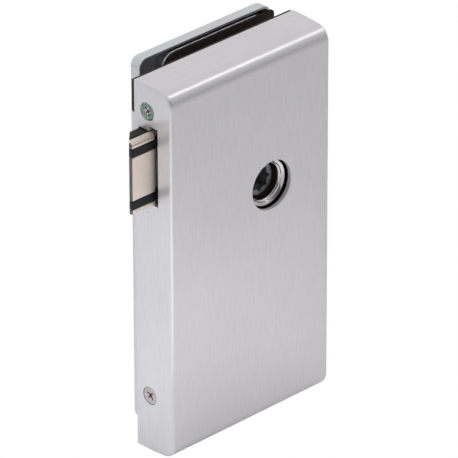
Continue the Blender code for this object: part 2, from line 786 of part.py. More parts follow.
def front_gasket():
    """Covers the back of the lock; notched where the cover's lip reaches the glass."""
    right = COVER_WIDTH - GASKET_EDGE_INSET
    top = COVER_HEIGHT - GASKET_EDGE_INSET
    notch = COVER_SIDE_WALL + SEAT_GAP
    lip_top = LATCH_CENTRE_HEIGHT + LIP_HALF_HEIGHT + SEAT_GAP
    lip_low = LATCH_CENTRE_HEIGHT - LIP_HALF_HEIGHT - SEAT_GAP
    outline = rounded(
        [
            (GASKET_SIDE_INSET, GASKET_EDGE_INSET, 0),
            (right, GASKET_EDGE_INSET, 0),
            (right, top, 0),
            (GASKET_FLUSH_INSET, top, 0),
            (GASKET_FLUSH_INSET, lip_top, 0),
            (notch, lip_top, 0),
            (notch, lip_low, 0),
            (GASKET_SIDE_INSET, lip_low, 0),
        ]
    )
    holes = [circle(BACKSET, HANDLE_HEIGHT, HANDLE_HOLE_RADIUS)]
    holes += [circle(x, z, SLEEVE_RADIUS + SEAT_GAP, HEAD_STEPS) for x, z in CLAMP_PLACES]
    gasket = extruded([outline] + holes, "Y", FRONT_GASKET_FRONT, GLASS_FRONT)
    return place(gasket, "front_gasket", black_rubber())


def handle_ring(name, face, depth):
    """A polished ring in two steps, seen through the handle hole; a positive depth runs along +Y."""
    inward = math.copysign(1, depth)
    outer = HANDLE_HOLE_RADIUS - SEAT_GAP
    bore = JOURNAL_RADIUS + RING_BORE_GAP
    step = outer - RING_SHOULDER
    places = [
        (outer, abs(depth)),
        (bore, abs(depth)),
        (bore, RING_FLOOR + 2 * RING_ROUND),
        (bore + 2 * RING_ROUND, RING_FLOOR),
        (step - RING_ROUND / 2, RING_SHOULDER_BASE),
        (step, RING_SHOULDER_TOP),
        (outer - RING_CREST, 0),
        (outer - RING_ROUND, RING_ROUND / 2),
        (outer, 2.5 * RING_ROUND),
    ]
    profile = [(radius, face + inward * along) for radius, along in places]
    if inward > 0:
        profile.reverse()
    ring = turned(profile, "Y", HUB)
    return place(ring, name, polished_steel())


def follower_bush(name, low, high):
    profile = tube_profile(BUSH_OUTER, BUSH_OUTER - BUSH_WALL, low, high)
    bush = turned(profile, "Y", HUB)
    return place(bush, name, sintered_bronze())


def star_outline(square):
    """Two squares on one centre, an eighth of a turn apart: the spindle fits either way."""
    half = square / 2
    point = half * math.sqrt(2)
    valley = half / math.cos(math.pi / 8)
    outline = []
    for i in range(16):
        radius = valley if i % 2 else point
        angle = i * math.pi / 8
        outline.append(Vector((radius * math.cos(angle), radius * math.sin(angle))))
    return outline


def arm_outline(reach, tip_radius, root, neck):
    """A lever seen along its pivot, pointing up at +V with its pivot at the origin."""
    lean = math.asin(neck / tip_radius)
    steps = 10
    neck_height = reach * ARM_NECK_SHARE
    points = [Vector((root, 0)), Vector((root, FOLLOWER_RADIUS)), Vector((neck, neck_height))]
    for i in range(steps + 1):
        angle = -math.pi / 2 + lean + (2 * math.pi - 2 * lean) * i / steps
        spot = Vector((math.cos(angle), math.sin(angle))) * tip_radius
        points.append(spot + Vector((0, reach)))
    points += [Vector((-neck, neck_height)), Vector((-root, FOLLOWER_RADIUS)), Vector((-root, 0))]
    return points


def swung(outline, angle):
    """An outline turned clockwise about the pivot, as seen from the front, and moved to it."""
    c = math.cos(angle)
    s = math.sin(angle)
    return [
        Vector((BACKSET + p.x * c + p.y * s, HANDLE_HEIGHT - p.x * s + p.y * c)) for p in outline
    ]


def follower():
    """The hub that the spindle turns, with the arm that draws the latch and the lug of its spring."""
    back = BASE_FRONT - SEAT_GAP - BUSH_STAND / 2
    front = LID_BACK + BUSH_STAND + 2 * SEAT_GAP
    end = COVER_DEPTH - BUSH_STAND
    profile = [
        (0, end),
        (JOURNAL_RADIUS, end),
        (JOURNAL_RADIUS, back),
        (FOLLOWER_RADIUS, back),
        (FOLLOWER_RADIUS, front),
        (JOURNAL_RADIUS, front),
        (JOURNAL_RADIUS, LID_FRONT),
        (0, LID_FRONT),
    ]
    hub = turned(profile, "Y", HUB)
    hub = place(hub, "follower", sheet_steel())
    arm = arm_outline(ARM_REACH, ARM_TIP_RADIUS, ARM_ROOT_HALF_WIDTH, ARM_HALF_WIDTH)
    lug = arm_outline(LUG_REACH, LUG_TIP_RADIUS, ARM_ROOT_HALF_WIDTH, ARM_HALF_WIDTH)
    join(hub, extruded([swung(arm, -ARM_REST_ANGLE)], "Y", ARM_FRONT, ARM_BACK))
    join(hub, extruded([swung(lug, math.pi - ARM_REST_ANGLE)], "Y", ARM_FRONT, ARM_BACK))
    hole = swung(star_outline(SPINDLE_SQUARE), 0)
    cut(hub, extruded([hole], "Y", LID_FRONT - OVERLAP, COVER_DEPTH + OVERLAP))
    return hub


def latch_plan():
    """The latch seen from above: flat front, blunt nose, 45 degree ramp at the back."""
    nose = -LATCH_PROJECTION
    ramp = LATCH_THICKNESS - LATCH_NOSE
    return [
        (nose, LATCH_FRONT),
        (nose, LATCH_FRONT + LATCH_NOSE),
        (nose + ramp, LATCH_BACK),
        (LATCH_ROOT_END, LATCH_BACK),
        (LATCH_ROOT_END, LATCH_FRONT),
    ]


def latch_prism():
    """The whole latch head as one solid, extruded upwards from its plan."""
    mesh = bpy.data.meshes.new("latch_head")
    shape = bmesh.new()
    corners = [shape.verts.new((x, y, LATCH_BOTTOM)) for x, y in latch_plan()]
    floor = shape.faces.new(corners)
    rise = bmesh.ops.extrude_face_region(shape, geom=[floor])
    moved = [part for part in rise["geom"] if isinstance(part, bmesh.types.BMVert)]
    bmesh.ops.translate(shape, verts=moved, vec=(0, 0, LATCH_HEIGHT))
    bmesh.ops.recalc_face_normals(shape, faces=shape.faces)
    edges = [
        edge
        for edge in shape.edges
        if all(corner.co.y < LATCH_FRONT + SLACK for corner in edge.verts)
        and abs(edge.verts[0].co.z - edge.verts[1].co.z) < SLACK
    ]
    edges += [
        edge
        for edge in shape.edges
        if all(corner.co.x < -LATCH_PROJECTION + SLACK for corner in edge.verts)
        and abs(edge.verts[0].co.z - edge.verts[1].co.z) < SLACK
    ]
    bmesh.ops.bevel(
        shape, geom=edges, offset=LATCH_EDGE_RADIUS, segments=2, profile=0.5, affect="EDGES"
    )
    shape.to_mesh(mesh)
    shape.free()
    obj = bpy.data.objects.new("latch_head", mesh)
    CUTTERS.objects.link(obj)
    return obj


def latch_bolt():
    """The metal half of the latch: a comb whose gaps take the bands of the plastic half."""
    metal = place(latch_prism(), "latch_bolt", latch_metal())
    far = LATCH_BACK + OVERLAP
    nose = -LATCH_PROJECTION - OVERLAP
    low = LATCH_BOTTOM - OVERLAP
    seat = LATCH_ROOT_END - LATCH_SEAT_LENGTH
    back_half = block((nose, METAL_BACK, low), (seat, far, LATCH_TOP + OVERLAP))
    below_seat = block((nose, METAL_BACK, low), (LATCH_ROOT_END + OVERLAP, far, SPRING_SEAT_LOW))
    cut(metal, back_half, below_seat)
    for top in BAND_TOPS:
        slot = block(
            (nose, LATCH_FRONT - OVERLAP, top - BAND_HEIGHT - BAND_GAP),
            (LATCH_ROOT_START, far, top + BAND_GAP),
        )
        cut(metal, slot)
    for height in RIVET_HEIGHTS:
        bore = rod_profile(RIVET_RADIUS + SCREW_GAP, LATCH_FRONT + OVERLAP, far)
        cut(metal, turned(bore, "Y", (RIVET_PLACE, height), PIN_STEPS))
    return metal


def latch_insert():
    """The black plastic half: the ramp that meets the strike, and two bands round to the front."""
    insert = place(latch_prism(), "latch_insert", black_plastic())
    front = LATCH_FRONT - OVERLAP
    split = METAL_BACK + SEAT_GAP
    nose = -LATCH_PROJECTION - OVERLAP
    end = TAIL_START - SEAT_GAP
    root = LATCH_ROOT_END + OVERLAP
    low = LATCH_BOTTOM - OVERLAP
    high = LATCH_TOP + OVERLAP
    cut(insert, block((end, front, low), (root, LATCH_BACK + OVERLAP, high)))
    cut(insert, block((LATCH_ROOT_START - BAND_GAP, front, low), (root, split, high)))
    upper, lower = BAND_TOPS
    for bottom, top in (
        (upper, high),
        (lower, upper - BAND_HEIGHT),
        (low, lower - BAND_HEIGHT),
    ):
        cut(insert, block((nose, front, bottom), (root, split, top)))
    return insert


def latch_tail():
    """The plate behind the latch; its fork stands over the tip of the follower's arm."""
    half = ARM_TIP_RADIUS + FORK_PLAY
    fork_top = ARM_TIP_HIGHEST + FORK_ROOF
    neck = TAIL_HIGH - FORK_NECK_DROP
    neck_start = ARM_TIP_X + FORK_NECK_START
    outline = rounded(
        [
            (TAIL_START, TAIL_LOW, TAIL_CORNER),
            (ARM_TIP_X - half - 2 * FORK_WALL, TAIL_LOW, TAIL_CORNER),
            (ARM_TIP_X - half - FORK_WALL, PRONG_LOW, TAIL_CORNER),
            (ARM_TIP_X - half, PRONG_LOW, TAIL_CORNER),
            (ARM_TIP_X - half, fork_top, FORK_CORNER),
            (ARM_TIP_X + half, fork_top, FORK_CORNER),
            (ARM_TIP_X + half, PRONG_LOW, TAIL_CORNER),
            (TAIL_END, PRONG_LOW, FORK_CORNER),
            (TAIL_END, neck, NECK_CORNER),
            (neck_start, neck, NECK_CORNER),
            (neck_start - FORK_NECK_SLOPE, TAIL_HIGH, NECK_CORNER),
            (TAIL_START, TAIL_HIGH, TAIL_CORNER),
        ],
        3,
    )
    slot_half = TAIL_PIN_RADIUS + RUNNING_GAP
    slot = rounded_box(
        TAIL_PIN_PLACE - LATCH_THROW - slot_half - TAIL_SLOT_PLAY,
        TAIL_MIDDLE - slot_half,
        TAIL_PIN_PLACE + slot_half + TAIL_SLOT_PLAY,
        TAIL_MIDDLE + slot_half,
        slot_half * 0.98,
        5,
    )
    holes = [slot]
    holes += [circle(RIVET_PLACE, z, RIVET_RADIUS + SCREW_GAP, PIN_STEPS) for z in RIVET_HEIGHTS]
    tail = extruded([outline] + holes, "Y", TAIL_FRONT, TAIL_BACK)
    return place(tail, "latch_tail", sheet_steel())


def tail_rivets():
    for i, height in enumerate(RIVET_HEIGHTS, 1):
        head = TAIL_BACK + SEAT_GAP
        rim = RIVET_RADIUS + RIVET_HEAD_REACH
        end = LATCH_FRONT + OVERLAP + SEAT_GAP
        profile = [
            (0, head + RIVET_HEAD_HEIGHT),
            (rim - RIVET_HEAD_REACH / 2, head + RIVET_HEAD_HEIGHT),
            (rim, head + RIVET_HEAD_HEIGHT / 2),
            (rim, head),
            (RIVET_RADIUS, head),
            (RIVET_RADIUS, end),
            (0, end),
        ]
        rivet = turned(profile, "Y", (RIVET_PLACE, height), PIN_STEPS)
        place(rivet, f"tail_rivet_{i}", bright_zinc())


def fixed_pin(name, x, z, radius):
    """A pin that stands on the base plate and ends just under the lid."""
    pin = turned(
        rod_profile(radius, LID_BACK + SEAT_GAP, BASE_FRONT - SEAT_GAP), "Y", (x, z), PIN_STEPS
    )
    return place(pin, name, bright_zinc())


def stop_pins():
    """Each pin stands beside the arm where its swing ends."""
    c = math.cos(ARM_REST_ANGLE)
    s = math.sin(ARM_REST_ANGLE)
    for name, side in (("rest_stop", -1), ("end_stop", 1)):
        x = BACKSET + side * (STOP_REACH * s + STOP_OFFSET * c)
        z = HANDLE_HEIGHT + STOP_REACH * c - STOP_OFFSET * s
        fixed_pin(name, x, z, STOP_RADIUS)
    fixed_pin("tail_guide_pin", TAIL_PIN_PLACE, TAIL_MIDDLE, TAIL_PIN_RADIUS)


def latch_rails():
    """Two slide rails that hold the latch square behind its opening."""
    front = LID_BACK + SEAT_GAP
    back = BASE_FRONT - SEAT_GAP
    end = LATCH_ROOT_END + LATCH_THROW + RAIL_OVERRUN
    low = LATCH_BOTTOM - RUNNING_GAP - RAIL_THICKNESS
    high = LATCH_TOP + RUNNING_GAP
    for name, z in (("latch_rail_lower", low), ("latch_rail_upper", high)):
        rail = block((RAIL_START, front, z), (end, back, z + RAIL_THICKNESS))
        place(rail, name, acetal())


def spring_stop(name, start, height, pin_from, pin_to):
    """A block on the base plate with the pin that keeps its spring straight."""
    reach = SPRING_COIL_RADIUS + SPRING_WIRE_RADIUS
    stop = block(
        (start, LID_BACK + SEAT_GAP, height - reach),
        (start + STOP_BLOCK_LENGTH, BASE_FRONT - SEAT_GAP, height + reach),
    )
    stop = place(stop, name, sheet_steel())
    pin = rod_profile(SPRING_PIN_RADIUS, pin_from, pin_to)
    join(stop, turned(pin, "X", (SPRING_DEPTH, height), PIN_STEPS))
    return stop


def spring(name, start, end, height):
    """A compression spring along X; its last turns lie closer, as ground ends do."""
    curve = bpy.data.curves.new(name, "CURVE")
    curve.dimensions = "3D"
    curve.bevel_depth = SPRING_WIRE_RADIUS
    curve.bevel_resolution = 2
    curve.use_fill_caps = True
    spline = curve.splines.new("POLY")
    per_turn = 12
    count = round(SPRING_TURNS * per_turn)
    spline.points.add(count)
    low = start + SPRING_WIRE_RADIUS
    high = end - SPRING_WIRE_RADIUS
    for i, point in enumerate(spline.points):
        share = i / count
        along = share - 0.045 * math.sin(4 * math.pi * share) * (1 - 4 * share * (1 - share))
        angle = 2 * math.pi * i / per_turn
        point.co = (
            low + (high - low) * along,
            SPRING_DEPTH + SPRING_COIL_RADIUS * math.cos(angle),
            height + SPRING_COIL_RADIUS * math.sin(angle),
            1,
        )
    obj = bpy.data.objects.new(name, curve)
    LOCK.objects.link(obj)
    curve.materials.append(spring_steel())
    return obj


def springs():
    spring(
        "latch_spring",
        LATCH_ROOT_END + SEAT_GAP,
        LATCH_SPRING_STOP - SEAT_GAP,
        LATCH_SPRING_HEIGHT,
    )
    spring_stop(
        "latch_spring_stop",
        LATCH_SPRING_STOP,
        LATCH_SPRING_HEIGHT,
        LATCH_SPRING_STOP - SPRING_PIN_LENGTH,
        LATCH_SPRING_STOP + OVERLAP,
    )
    spring("return_spring", RETURN_SPRING_START, RETURN_SPRING_END, LUG_TIP_HEIGHT)
    spring_stop(
        "return_spring_stop",
        RETURN_STOP_END - STOP_BLOCK_LENGTH,
        LUG_TIP_HEIGHT,
        RETURN_STOP_END - OVERLAP,
        RETURN_STOP_END + SPRING_PIN_LENGTH,
    )


def cross_slot(face, y, z):
    """The two arms of a cross recess in a screw head that faces -X."""
    front = face - OVERLAP
    back = face + CROSS_DEPTH
    arms = []
    for half_y, half_z in ((CROSS_REACH, CROSS_HALF_WIDTH), (CROSS_HALF_WIDTH, CROSS_REACH)):
        arms.append(block((front, y - half_y, z - half_z), (back, y + half_y, z + half_z)))
    return arms


def cover_screws():
    """Countersunk screws that hold the cover to the base plate through its side wall."""
    for name, height, finish in (
        ("cover_screw_upper", UPPER_SCREW_HEIGHT, green_zinc()),
        ("cover_screw_lower", LOWER_SCREW_RISE, bright_zinc()),
    ):
        face = SIDE_HEAD_SINK
        cone = face + SIDE_HEAD_RIM
        profile = [
            (0, SIDE_SCREW_LENGTH),
            (SIDE_SHANK_RADIUS, SIDE_SCREW_LENGTH),
            (SIDE_SHANK_RADIUS, cone + SIDE_HEAD_RADIUS - SIDE_SHANK_RADIUS),
            (SIDE_HEAD_RADIUS, cone),
            (SIDE_HEAD_RADIUS, face + SIDE_HEAD_RIM / 2),
            (SIDE_HEAD_RADIUS - SIDE_HEAD_RIM / 2, face),
            (0, face),
        ]
        screw = turned(profile, "X", (SIDE_SCREW_DEPTH, height))
        screw = place(screw, name, finish)
        cut(screw, *cross_slot(face, SIDE_SCREW_DEPTH, height))


def clamp_screws():
    """Screws from the rear through plate, gaskets and glass into the bosses of the base plate."""
    head = PLATE_BACK - CLAMP_HEAD_SINK
    cone = head - CLAMP_HEAD_RIM
    end = BASE_FRONT - CLAMP_BOSS_HEIGHT + CLAMP_TIP_RELIEF
    bore = CLAMP_SHANK_RADIUS + SCREW_GAP
    for i, spot in enumerate(CLAMP_PLACES, 1):
        profile = [
            (0, head),
            (CLAMP_HEAD_RADIUS, head),
            (CLAMP_HEAD_RADIUS, cone),
            (CLAMP_SHANK_RADIUS, cone - CLAMP_HEAD_RADIUS + CLAMP_SHANK_RADIUS),
            (CLAMP_SHANK_RADIUS, end),
            (0, end),
        ]
        screw = turned(profile, "Y", spot, HEAD_STEPS)
        place(screw, f"clamp_screw_{i}", bright_zinc())
        tube = tube_profile(SLEEVE_RADIUS, bore, COVER_DEPTH + SEAT_GAP, PLATE_FRONT - SEAT_GAP)
        sleeve = turned(tube, "Y", spot, HEAD_STEPS)
        place(sleeve, f"glass_sleeve_{i}", black_plastic())


def clamp_countersink(spot):
    cone = PLATE_BACK - CLAMP_HEAD_SINK - CLAMP_HEAD_RIM
    bore = CLAMP_SHANK_RADIUS + SCREW_GAP
    mouth = CLAMP_HEAD_RADIUS + SCREW_GAP
    profile = [
        (0, PLATE_BACK + OVERLAP),
        (mouth, PLATE_BACK + OVERLAP),
        (mouth, cone),
        (bore, cone - mouth + bore),
        (bore, PLATE_FRONT - OVERLAP),
        (0, PLATE_FRONT - OVERLAP),
    ]
    return turned(profile, "Y", spot, HEAD_STEPS)


def clamping_plate():
    outline = rounded_box(PLATE_LEFT, PLATE_EDGE_INSET, PLATE_RIGHT, PLATE_TOP, PLATE_CORNER)
    plate = place(extruded([outline], "Y", PLATE_FRONT, PLATE_BACK), "clamping_plate", die_cast_zinc())
    edge = plate.modifiers.new("edge", "BEVEL")
    edge.width = PLATE_BEVEL
    edge.segments = 1
    edge.limit_method = "ANGLE"
    edge.angle_limit = math.radians(60)
    bore = rod_profile(HANDLE_HOLE_RADIUS, PLATE_FRONT - OVERLAP, PLATE_BACK + OVERLAP)
    cut(plate, turned(bore, "Y", HUB))
    cut(plate, merged([clamp_countersink(spot) for spot in CLAMP_PLACES]))
    return plate


def rear_gasket():
    outline = rounded(
        [
            (PLATE_LEFT, PLATE_EDGE_INSET, PLATE_CORNER),
            (REAR_GASKET_RIGHT, PLATE_EDGE_INSET, REAR_GASKET_CORNER),
            (REAR_GASKET_RIGHT, PLATE_TOP, REAR_GASKET_CORNER),
            (PLATE_LEFT, PLATE_TOP, PLATE_CORNER),
        ]
    )
    holes = [circle(BACKSET, HANDLE_HEIGHT, HANDLE_HOLE_RADIUS)]
    holes += [circle(x, z, SLEEVE_RADIUS + SEAT_GAP, HEAD_STEPS) for x, z in CLAMP_PLACES]
    gasket = extruded([outline] + holes, "Y", GLASS_BACK, REAR_GASKET_BACK)
    return place(gasket, "rear_gasket", black_rubber())


def rear_cap():
    """The cover of the clamping plate: a drawn tray with rounded corners and back edges."""
    outline = rounded_box(CAP_LEFT, 0, CAP_RIGHT, COVER_HEIGHT, CAP_CORNER)
    tray = extruded([outline], "Y", CAP_RIM, CAP_BACK)
    shape = bmesh.new()
    shape.from_mesh(tray.data)
    rim = [
        edge
        for edge in shape.edges
        if all(abs(corner.co.y - CAP_BACK) < SLACK for corner in edge.verts)
    ]
    bmesh.ops.bevel(
        shape, geom=rim, offset=CAP_BACK_RADIUS, segments=4, profile=0.5, affect="EDGES"
    )
    shape.to_mesh(tray.data)
    shape.free()
    tray = place(tray, "rear_cap", brushed_aluminium())
    hollow = extruded(
        [
            rounded_box(
                CAP_LEFT + CAP_WALL,
                CAP_WALL,
                CAP_RIGHT - CAP_WALL,
                COVER_HEIGHT - CAP_WALL,
                CAP_CORNER - CAP_WALL,
            )
        ],
        "Y",
        CAP_RIM - OVERLAP,
        CAP_INNER_BACK,
    )
    cut(tray, hollow, handle_hole(CAP_BACK, -1, CAP_WALL))
    return tray


def cap_blocks():
    """Blocks beside the clamping plate that hold the cap's free side."""
    for name, share in zip(("cap_block_lower", "cap_block_upper"), CAP_BLOCK_SHARES):
        middle = COVER_HEIGHT * share
        front = CAP_RIM + CAP_BLOCK_RELIEF
        low = (CAP_LEFT + CAP_WALL + SEAT_GAP, front, middle - CAP_BLOCK_HALF)
        high = (PLATE_LEFT - SEAT_GAP, CAP_INNER_BACK - SEAT_GAP, middle + CAP_BLOCK_HALF)
        place(block(low, high), name, black_plastic())


front_cover()
base_plate()
case_lid()
lid_screws()
front_gasket()
handle_ring("handle_ring_front", FRONT_RING_SETBACK, LID_FRONT - SEAT_GAP - FRONT_RING_SETBACK)
handle_ring("handle_ring_rear", REAR_RING_FACE, PLATE_FRONT + SEAT_GAP - REAR_RING_FACE)
follower_bush("follower_bush_front", LID_FRONT, LID_BACK + BUSH_STAND)
follower_bush("follower_bush_rear", BASE_FRONT - BUSH_STAND / 2, COVER_DEPTH)
follower()
latch_bolt()
latch_insert()
latch_tail()
tail_rivets()
stop_pins()
latch_rails()
springs()
cover_screws()
clamp_screws()
clamping_plate()
rear_gasket()
rear_cap()
cap_blocks()

# The whole lock stands on the ground plane with its middle over the origin.
root = bpy.data.objects.new("lock_origin", None)
root.location = (-(COVER_WIDTH - LATCH_PROJECTION) / 2, -CAP_BACK / 2, 0)
LOCK.objects.link(root)
for piece in list(LOCK.objects) + list(CUTTERS.objects):
    if piece != root:
        piece.parent = root
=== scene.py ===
# %% [markdown]
# This lock clamps on a glass door. The exact solids of all its pieces are already packed, and each
# node stands where it belongs. This lesson dresses them: it gives every visible piece its fine
# edges and every surface its material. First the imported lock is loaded, and its box is kept,
# because the dressed lock has to stay inside it.

import math

import bmesh
import bpy
from mathutils import Matrix, Vector


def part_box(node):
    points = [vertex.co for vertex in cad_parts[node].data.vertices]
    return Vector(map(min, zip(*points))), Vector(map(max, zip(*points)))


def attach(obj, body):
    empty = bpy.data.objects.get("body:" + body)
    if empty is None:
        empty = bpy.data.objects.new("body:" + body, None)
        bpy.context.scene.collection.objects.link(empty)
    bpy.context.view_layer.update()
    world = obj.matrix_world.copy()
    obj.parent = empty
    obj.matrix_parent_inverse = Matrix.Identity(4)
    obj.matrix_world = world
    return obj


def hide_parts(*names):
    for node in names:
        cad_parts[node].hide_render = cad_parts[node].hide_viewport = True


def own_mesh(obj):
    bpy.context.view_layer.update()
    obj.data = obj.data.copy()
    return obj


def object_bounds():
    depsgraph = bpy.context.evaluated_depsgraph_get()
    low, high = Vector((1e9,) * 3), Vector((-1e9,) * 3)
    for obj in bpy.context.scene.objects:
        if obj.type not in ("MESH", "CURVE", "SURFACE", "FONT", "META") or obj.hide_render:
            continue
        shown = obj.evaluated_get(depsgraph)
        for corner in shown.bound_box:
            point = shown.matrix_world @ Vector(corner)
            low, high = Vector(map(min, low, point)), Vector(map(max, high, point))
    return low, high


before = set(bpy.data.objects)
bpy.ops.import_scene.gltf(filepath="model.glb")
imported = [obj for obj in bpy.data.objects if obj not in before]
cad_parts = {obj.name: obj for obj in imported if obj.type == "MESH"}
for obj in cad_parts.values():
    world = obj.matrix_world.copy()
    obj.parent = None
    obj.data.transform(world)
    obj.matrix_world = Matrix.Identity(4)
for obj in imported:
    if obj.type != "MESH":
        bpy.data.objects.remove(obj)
cad_low, cad_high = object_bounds()

# %% [markdown]
# All sizes below are written in millimetres, measured as on a drawing: from the lower corner of the
# front cover at its latch side, with X to the right, Y to the back and Z up. One helper turns such
# a point into metres in the shared frame. The sizes that several pieces share have names: the
# cover's, the handle's axis and the places of the two side screws.

# %% Measure from the cover's corner
MM = 0.001
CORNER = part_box("front_cover")[0]
WIDTH, DEPTH, HEIGHT = 87, 21, 165
HUB_X, HUB_Z = 55, 105.6
SCREW_Y, LOWER_SCREW, UPPER_SCREW = 13.6, 25, 153.5


def spot(x, y, z):
    """A point on the drawing, in millimetres, as metres in the shared frame."""
    return CORNER + Vector((x, y, z)) * MM


HUB = spot(HUB_X, 0, HUB_Z)
print("corner of the cover", [round(c, 4) for c in CORNER])

# %% [markdown]
# The camera looks from the latch side, from the front and from above. The photo's upright lines are
# nearly parallel, which a long lens far away gives. Its place was fitted from the corners of the
# cover, and it needs no shift.

# %% Camera
AZIMUTH = math.radians(43.863)
ELEVATION = math.radians(28.719)
ROLL = math.radians(-0.128)
DISTANCE = 2424.9 * MM
LENS = 476.18

back = Vector(
    (
        -math.sin(AZIMUTH) * math.cos(ELEVATION),
        -math.cos(AZIMUTH) * math.cos(ELEVATION),
        math.sin(ELEVATION),
    )
)
across = Vector((math.cos(AZIMUTH), -math.sin(AZIMUTH), 0))
upward = back.cross(across)
right = across * math.cos(ROLL) + upward * math.sin(ROLL)
top = upward * math.cos(ROLL) - across * math.sin(ROLL)
aim = spot(44, 10, 84) - right * 2.355 * MM + top * 1.709 * MM

camera_data = bpy.data.cameras.new("camera")
camera_data.lens = LENS
camera_data.clip_start = 0.1
camera_data.clip_end = 20
camera = bpy.data.objects.new("camera", camera_data)
bpy.context.scene.collection.objects.link(camera)
camera.matrix_world = Matrix.Translation(aim + back * DISTANCE) @ Matrix(
    (right, top, back)
).transposed().to_4x4()
bpy.context.scene.camera = camera
print("camera at", [round(c, 3) for c in camera.location])

# %% [markdown]
# Modelling by script has the same rhythm as modelling by hand: nothing selected, add a primitive,
# go to edit mode, pick some edges or faces, use an operator, and come back. These helpers do the
# picking. The faces and edges are found by their place or direction, as an eye would find them.

# %% Helpers for selecting
SLACK = 0.02 * MM


def clear_selection():
    if bpy.context.object and bpy.context.object.mode != "OBJECT":
        bpy.ops.object.mode_set(mode="OBJECT")
    bpy.ops.object.select_all(action="DESELECT")


def make_active(piece):
    clear_selection()
    bpy.context.view_layer.objects.active = piece
    piece.select_set(True)


def pick(piece, kind, test):
    """Goes to edit mode with only those faces, edges or vertices selected that pass the test."""
    make_active(piece)
    bpy.ops.object.mode_set(mode="EDIT")
    bpy.ops.mesh.select_mode(type=kind)
    bpy.ops.mesh.select_all(action="DESELECT")
    shape = bmesh.from_edit_mesh(piece.data)
    parts = {"FACE": shape.faces, "EDGE": shape.edges, "VERT": shape.verts}[kind]
    chosen = [part for part in parts if test(part)]
    for part in chosen:
        part.select_set(True)
    bmesh.update_edit_mesh(piece.data)
    return len(chosen)


def on_plane(edge, axis, value):
    return all(abs(corner.co[axis] - value) < SLACK for corner in edge.verts)


def runs_along(edge, axis):
    a, b = (corner.co for corner in edge.verts)
    run = b - a
    return abs(run[axis]) > 0.999 * run.length


# %% [markdown]
# Most pieces start as a block of the right size. Sharp machine edges look wrong in any render, so
# an edge operator rounds each of them by the real radius. A Boolean modifier, applied at once, cuts
# holes and joins blocks.

# %% Helpers for shaping
def add_block(name, low, high):
    clear_selection()
    bpy.ops.mesh.primitive_cube_add(size=1, location=(low + high) / 2)
    piece = bpy.context.object
    piece.name = name
    piece.data.name = name
    piece.scale = high - low
    bpy.ops.object.transform_apply(location=True, rotation=True, scale=True)
    return piece


def round_picked(radius, steps):
    """Rounds the edges that are selected in edit mode, and goes back to object mode."""
    bpy.ops.mesh.bevel(
        offset=radius, offset_type="OFFSET", segments=steps, profile=0.5, affect="EDGES"
    )
    bpy.ops.object.mode_set(mode="OBJECT")


def boolean(piece, tool, operation="DIFFERENCE"):
    """Cuts the tool out of the piece, or joins it to the piece, and deletes the tool."""
    make_active(piece)
    bpy.ops.object.modifier_add(type="BOOLEAN")
    change = piece.modifiers[-1]
    change.operation = operation
    change.solver = "EXACT"
    change.object = tool
    bpy.ops.object.modifier_apply(modifier=change.name)
    bpy.data.objects.remove(tool, do_unlink=True)


def soften(piece, width, steps):
    """Rounds every edge sharper than 40 degrees, as tumbling or moulding leaves it."""
    make_active(piece)
    bpy.ops.object.modifier_add(type="BEVEL")
    change = piece.modifiers[-1]
    change.width = width
    change.segments = steps
    change.limit_method = "ANGLE"
    change.angle_limit = math.radians(40)
    change.harden_normals = False
    bpy.ops.object.modifier_apply(modifier=change.name)


# %% [markdown]
# A turned piece is drawn as half of its section and spun round its axis. The section grows from one
# vertex, extruded from point to point, which is how one would click it in edit mode.

# %% Helper for turned pieces
def turn_profile(name, axis, centre, profile, steps):
    """Spins a closed section of (radius, place along the axis) points, in millimetres."""
    clear_selection()
    bpy.ops.mesh.primitive_plane_add(size=1 * MM, location=(0, 0, 0))
    piece = bpy.context.object
    piece.name = name
    piece.data.name = name
    points = [
        centre + (Vector((along, radius, 0)) if axis == "X" else Vector((radius, along, 0))) * MM
        for radius, along in profile
    ]
    bpy.ops.object.mode_set(mode="EDIT")
    bpy.ops.mesh.select_mode(type="VERT")
    bpy.ops.mesh.select_all(action="SELECT")
    bpy.ops.mesh.merge(type="CENTER")
    bpy.ops.transform.translate(value=points[0])
    for before, after in zip(points, points[1:]):
        bpy.ops.mesh.extrude_region_move(TRANSFORM_OT_translate={"value": after - before})
    bpy.ops.mesh.select_all(action="SELECT")
    bpy.ops.mesh.spin(
        steps=steps,
        angle=2 * math.pi,
        center=centre,
        axis=(1, 0, 0) if axis == "X" else (0, 1, 0),
    )
    bpy.ops.mesh.select_all(action="SELECT")
    bpy.ops.mesh.remove_doubles(threshold=0.001 * MM)
    bpy.ops.mesh.normals_make_consistent(inside=False)
    bpy.ops.object.mode_set(mode="OBJECT")
    return piece


# %% [markdown]
# Each finished piece is shaded smooth, keeps its true edges, rides on the body it belongs to and
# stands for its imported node. Weighted normals keep the large flat faces flat next to their rounded
# edges.

# %% Helper for finishing a piece
def finish_piece(piece, body, finish, slot, *nodes, angle=35):
    make_active(piece)
    bpy.ops.object.transform_apply(location=True, rotation=True, scale=True)
    bpy.ops.object.shade_smooth_by_angle(angle=math.radians(angle))
    bpy.ops.object.modifier_add(type="WEIGHTED_NORMAL")
    change = piece.modifiers[-1]
    change.keep_sharp = True
    bpy.ops.object.modifier_apply(modifier=change.name)
    piece.data.materials.clear()
    piece.data.materials.append(finish)
    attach(piece, body)
    if nodes:
        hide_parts(*nodes)
    print(piece.name, len(piece.data.polygons), "faces")


# %% [markdown]
# Colours are written as the hex values that a colour picker shows. Blender calculates in linear
# light, so one function converts them. Another adds a node, sets it and links it.

# %% Helpers for materials
def colour(code):
    parts = [int(code[i : i + 2], 16) / 255 for i in (0, 2, 4)]
    return [c / 12.92 if c <= 0.04045 else ((c + 0.055) / 1.055) ** 2.4 for c in parts] + [1]


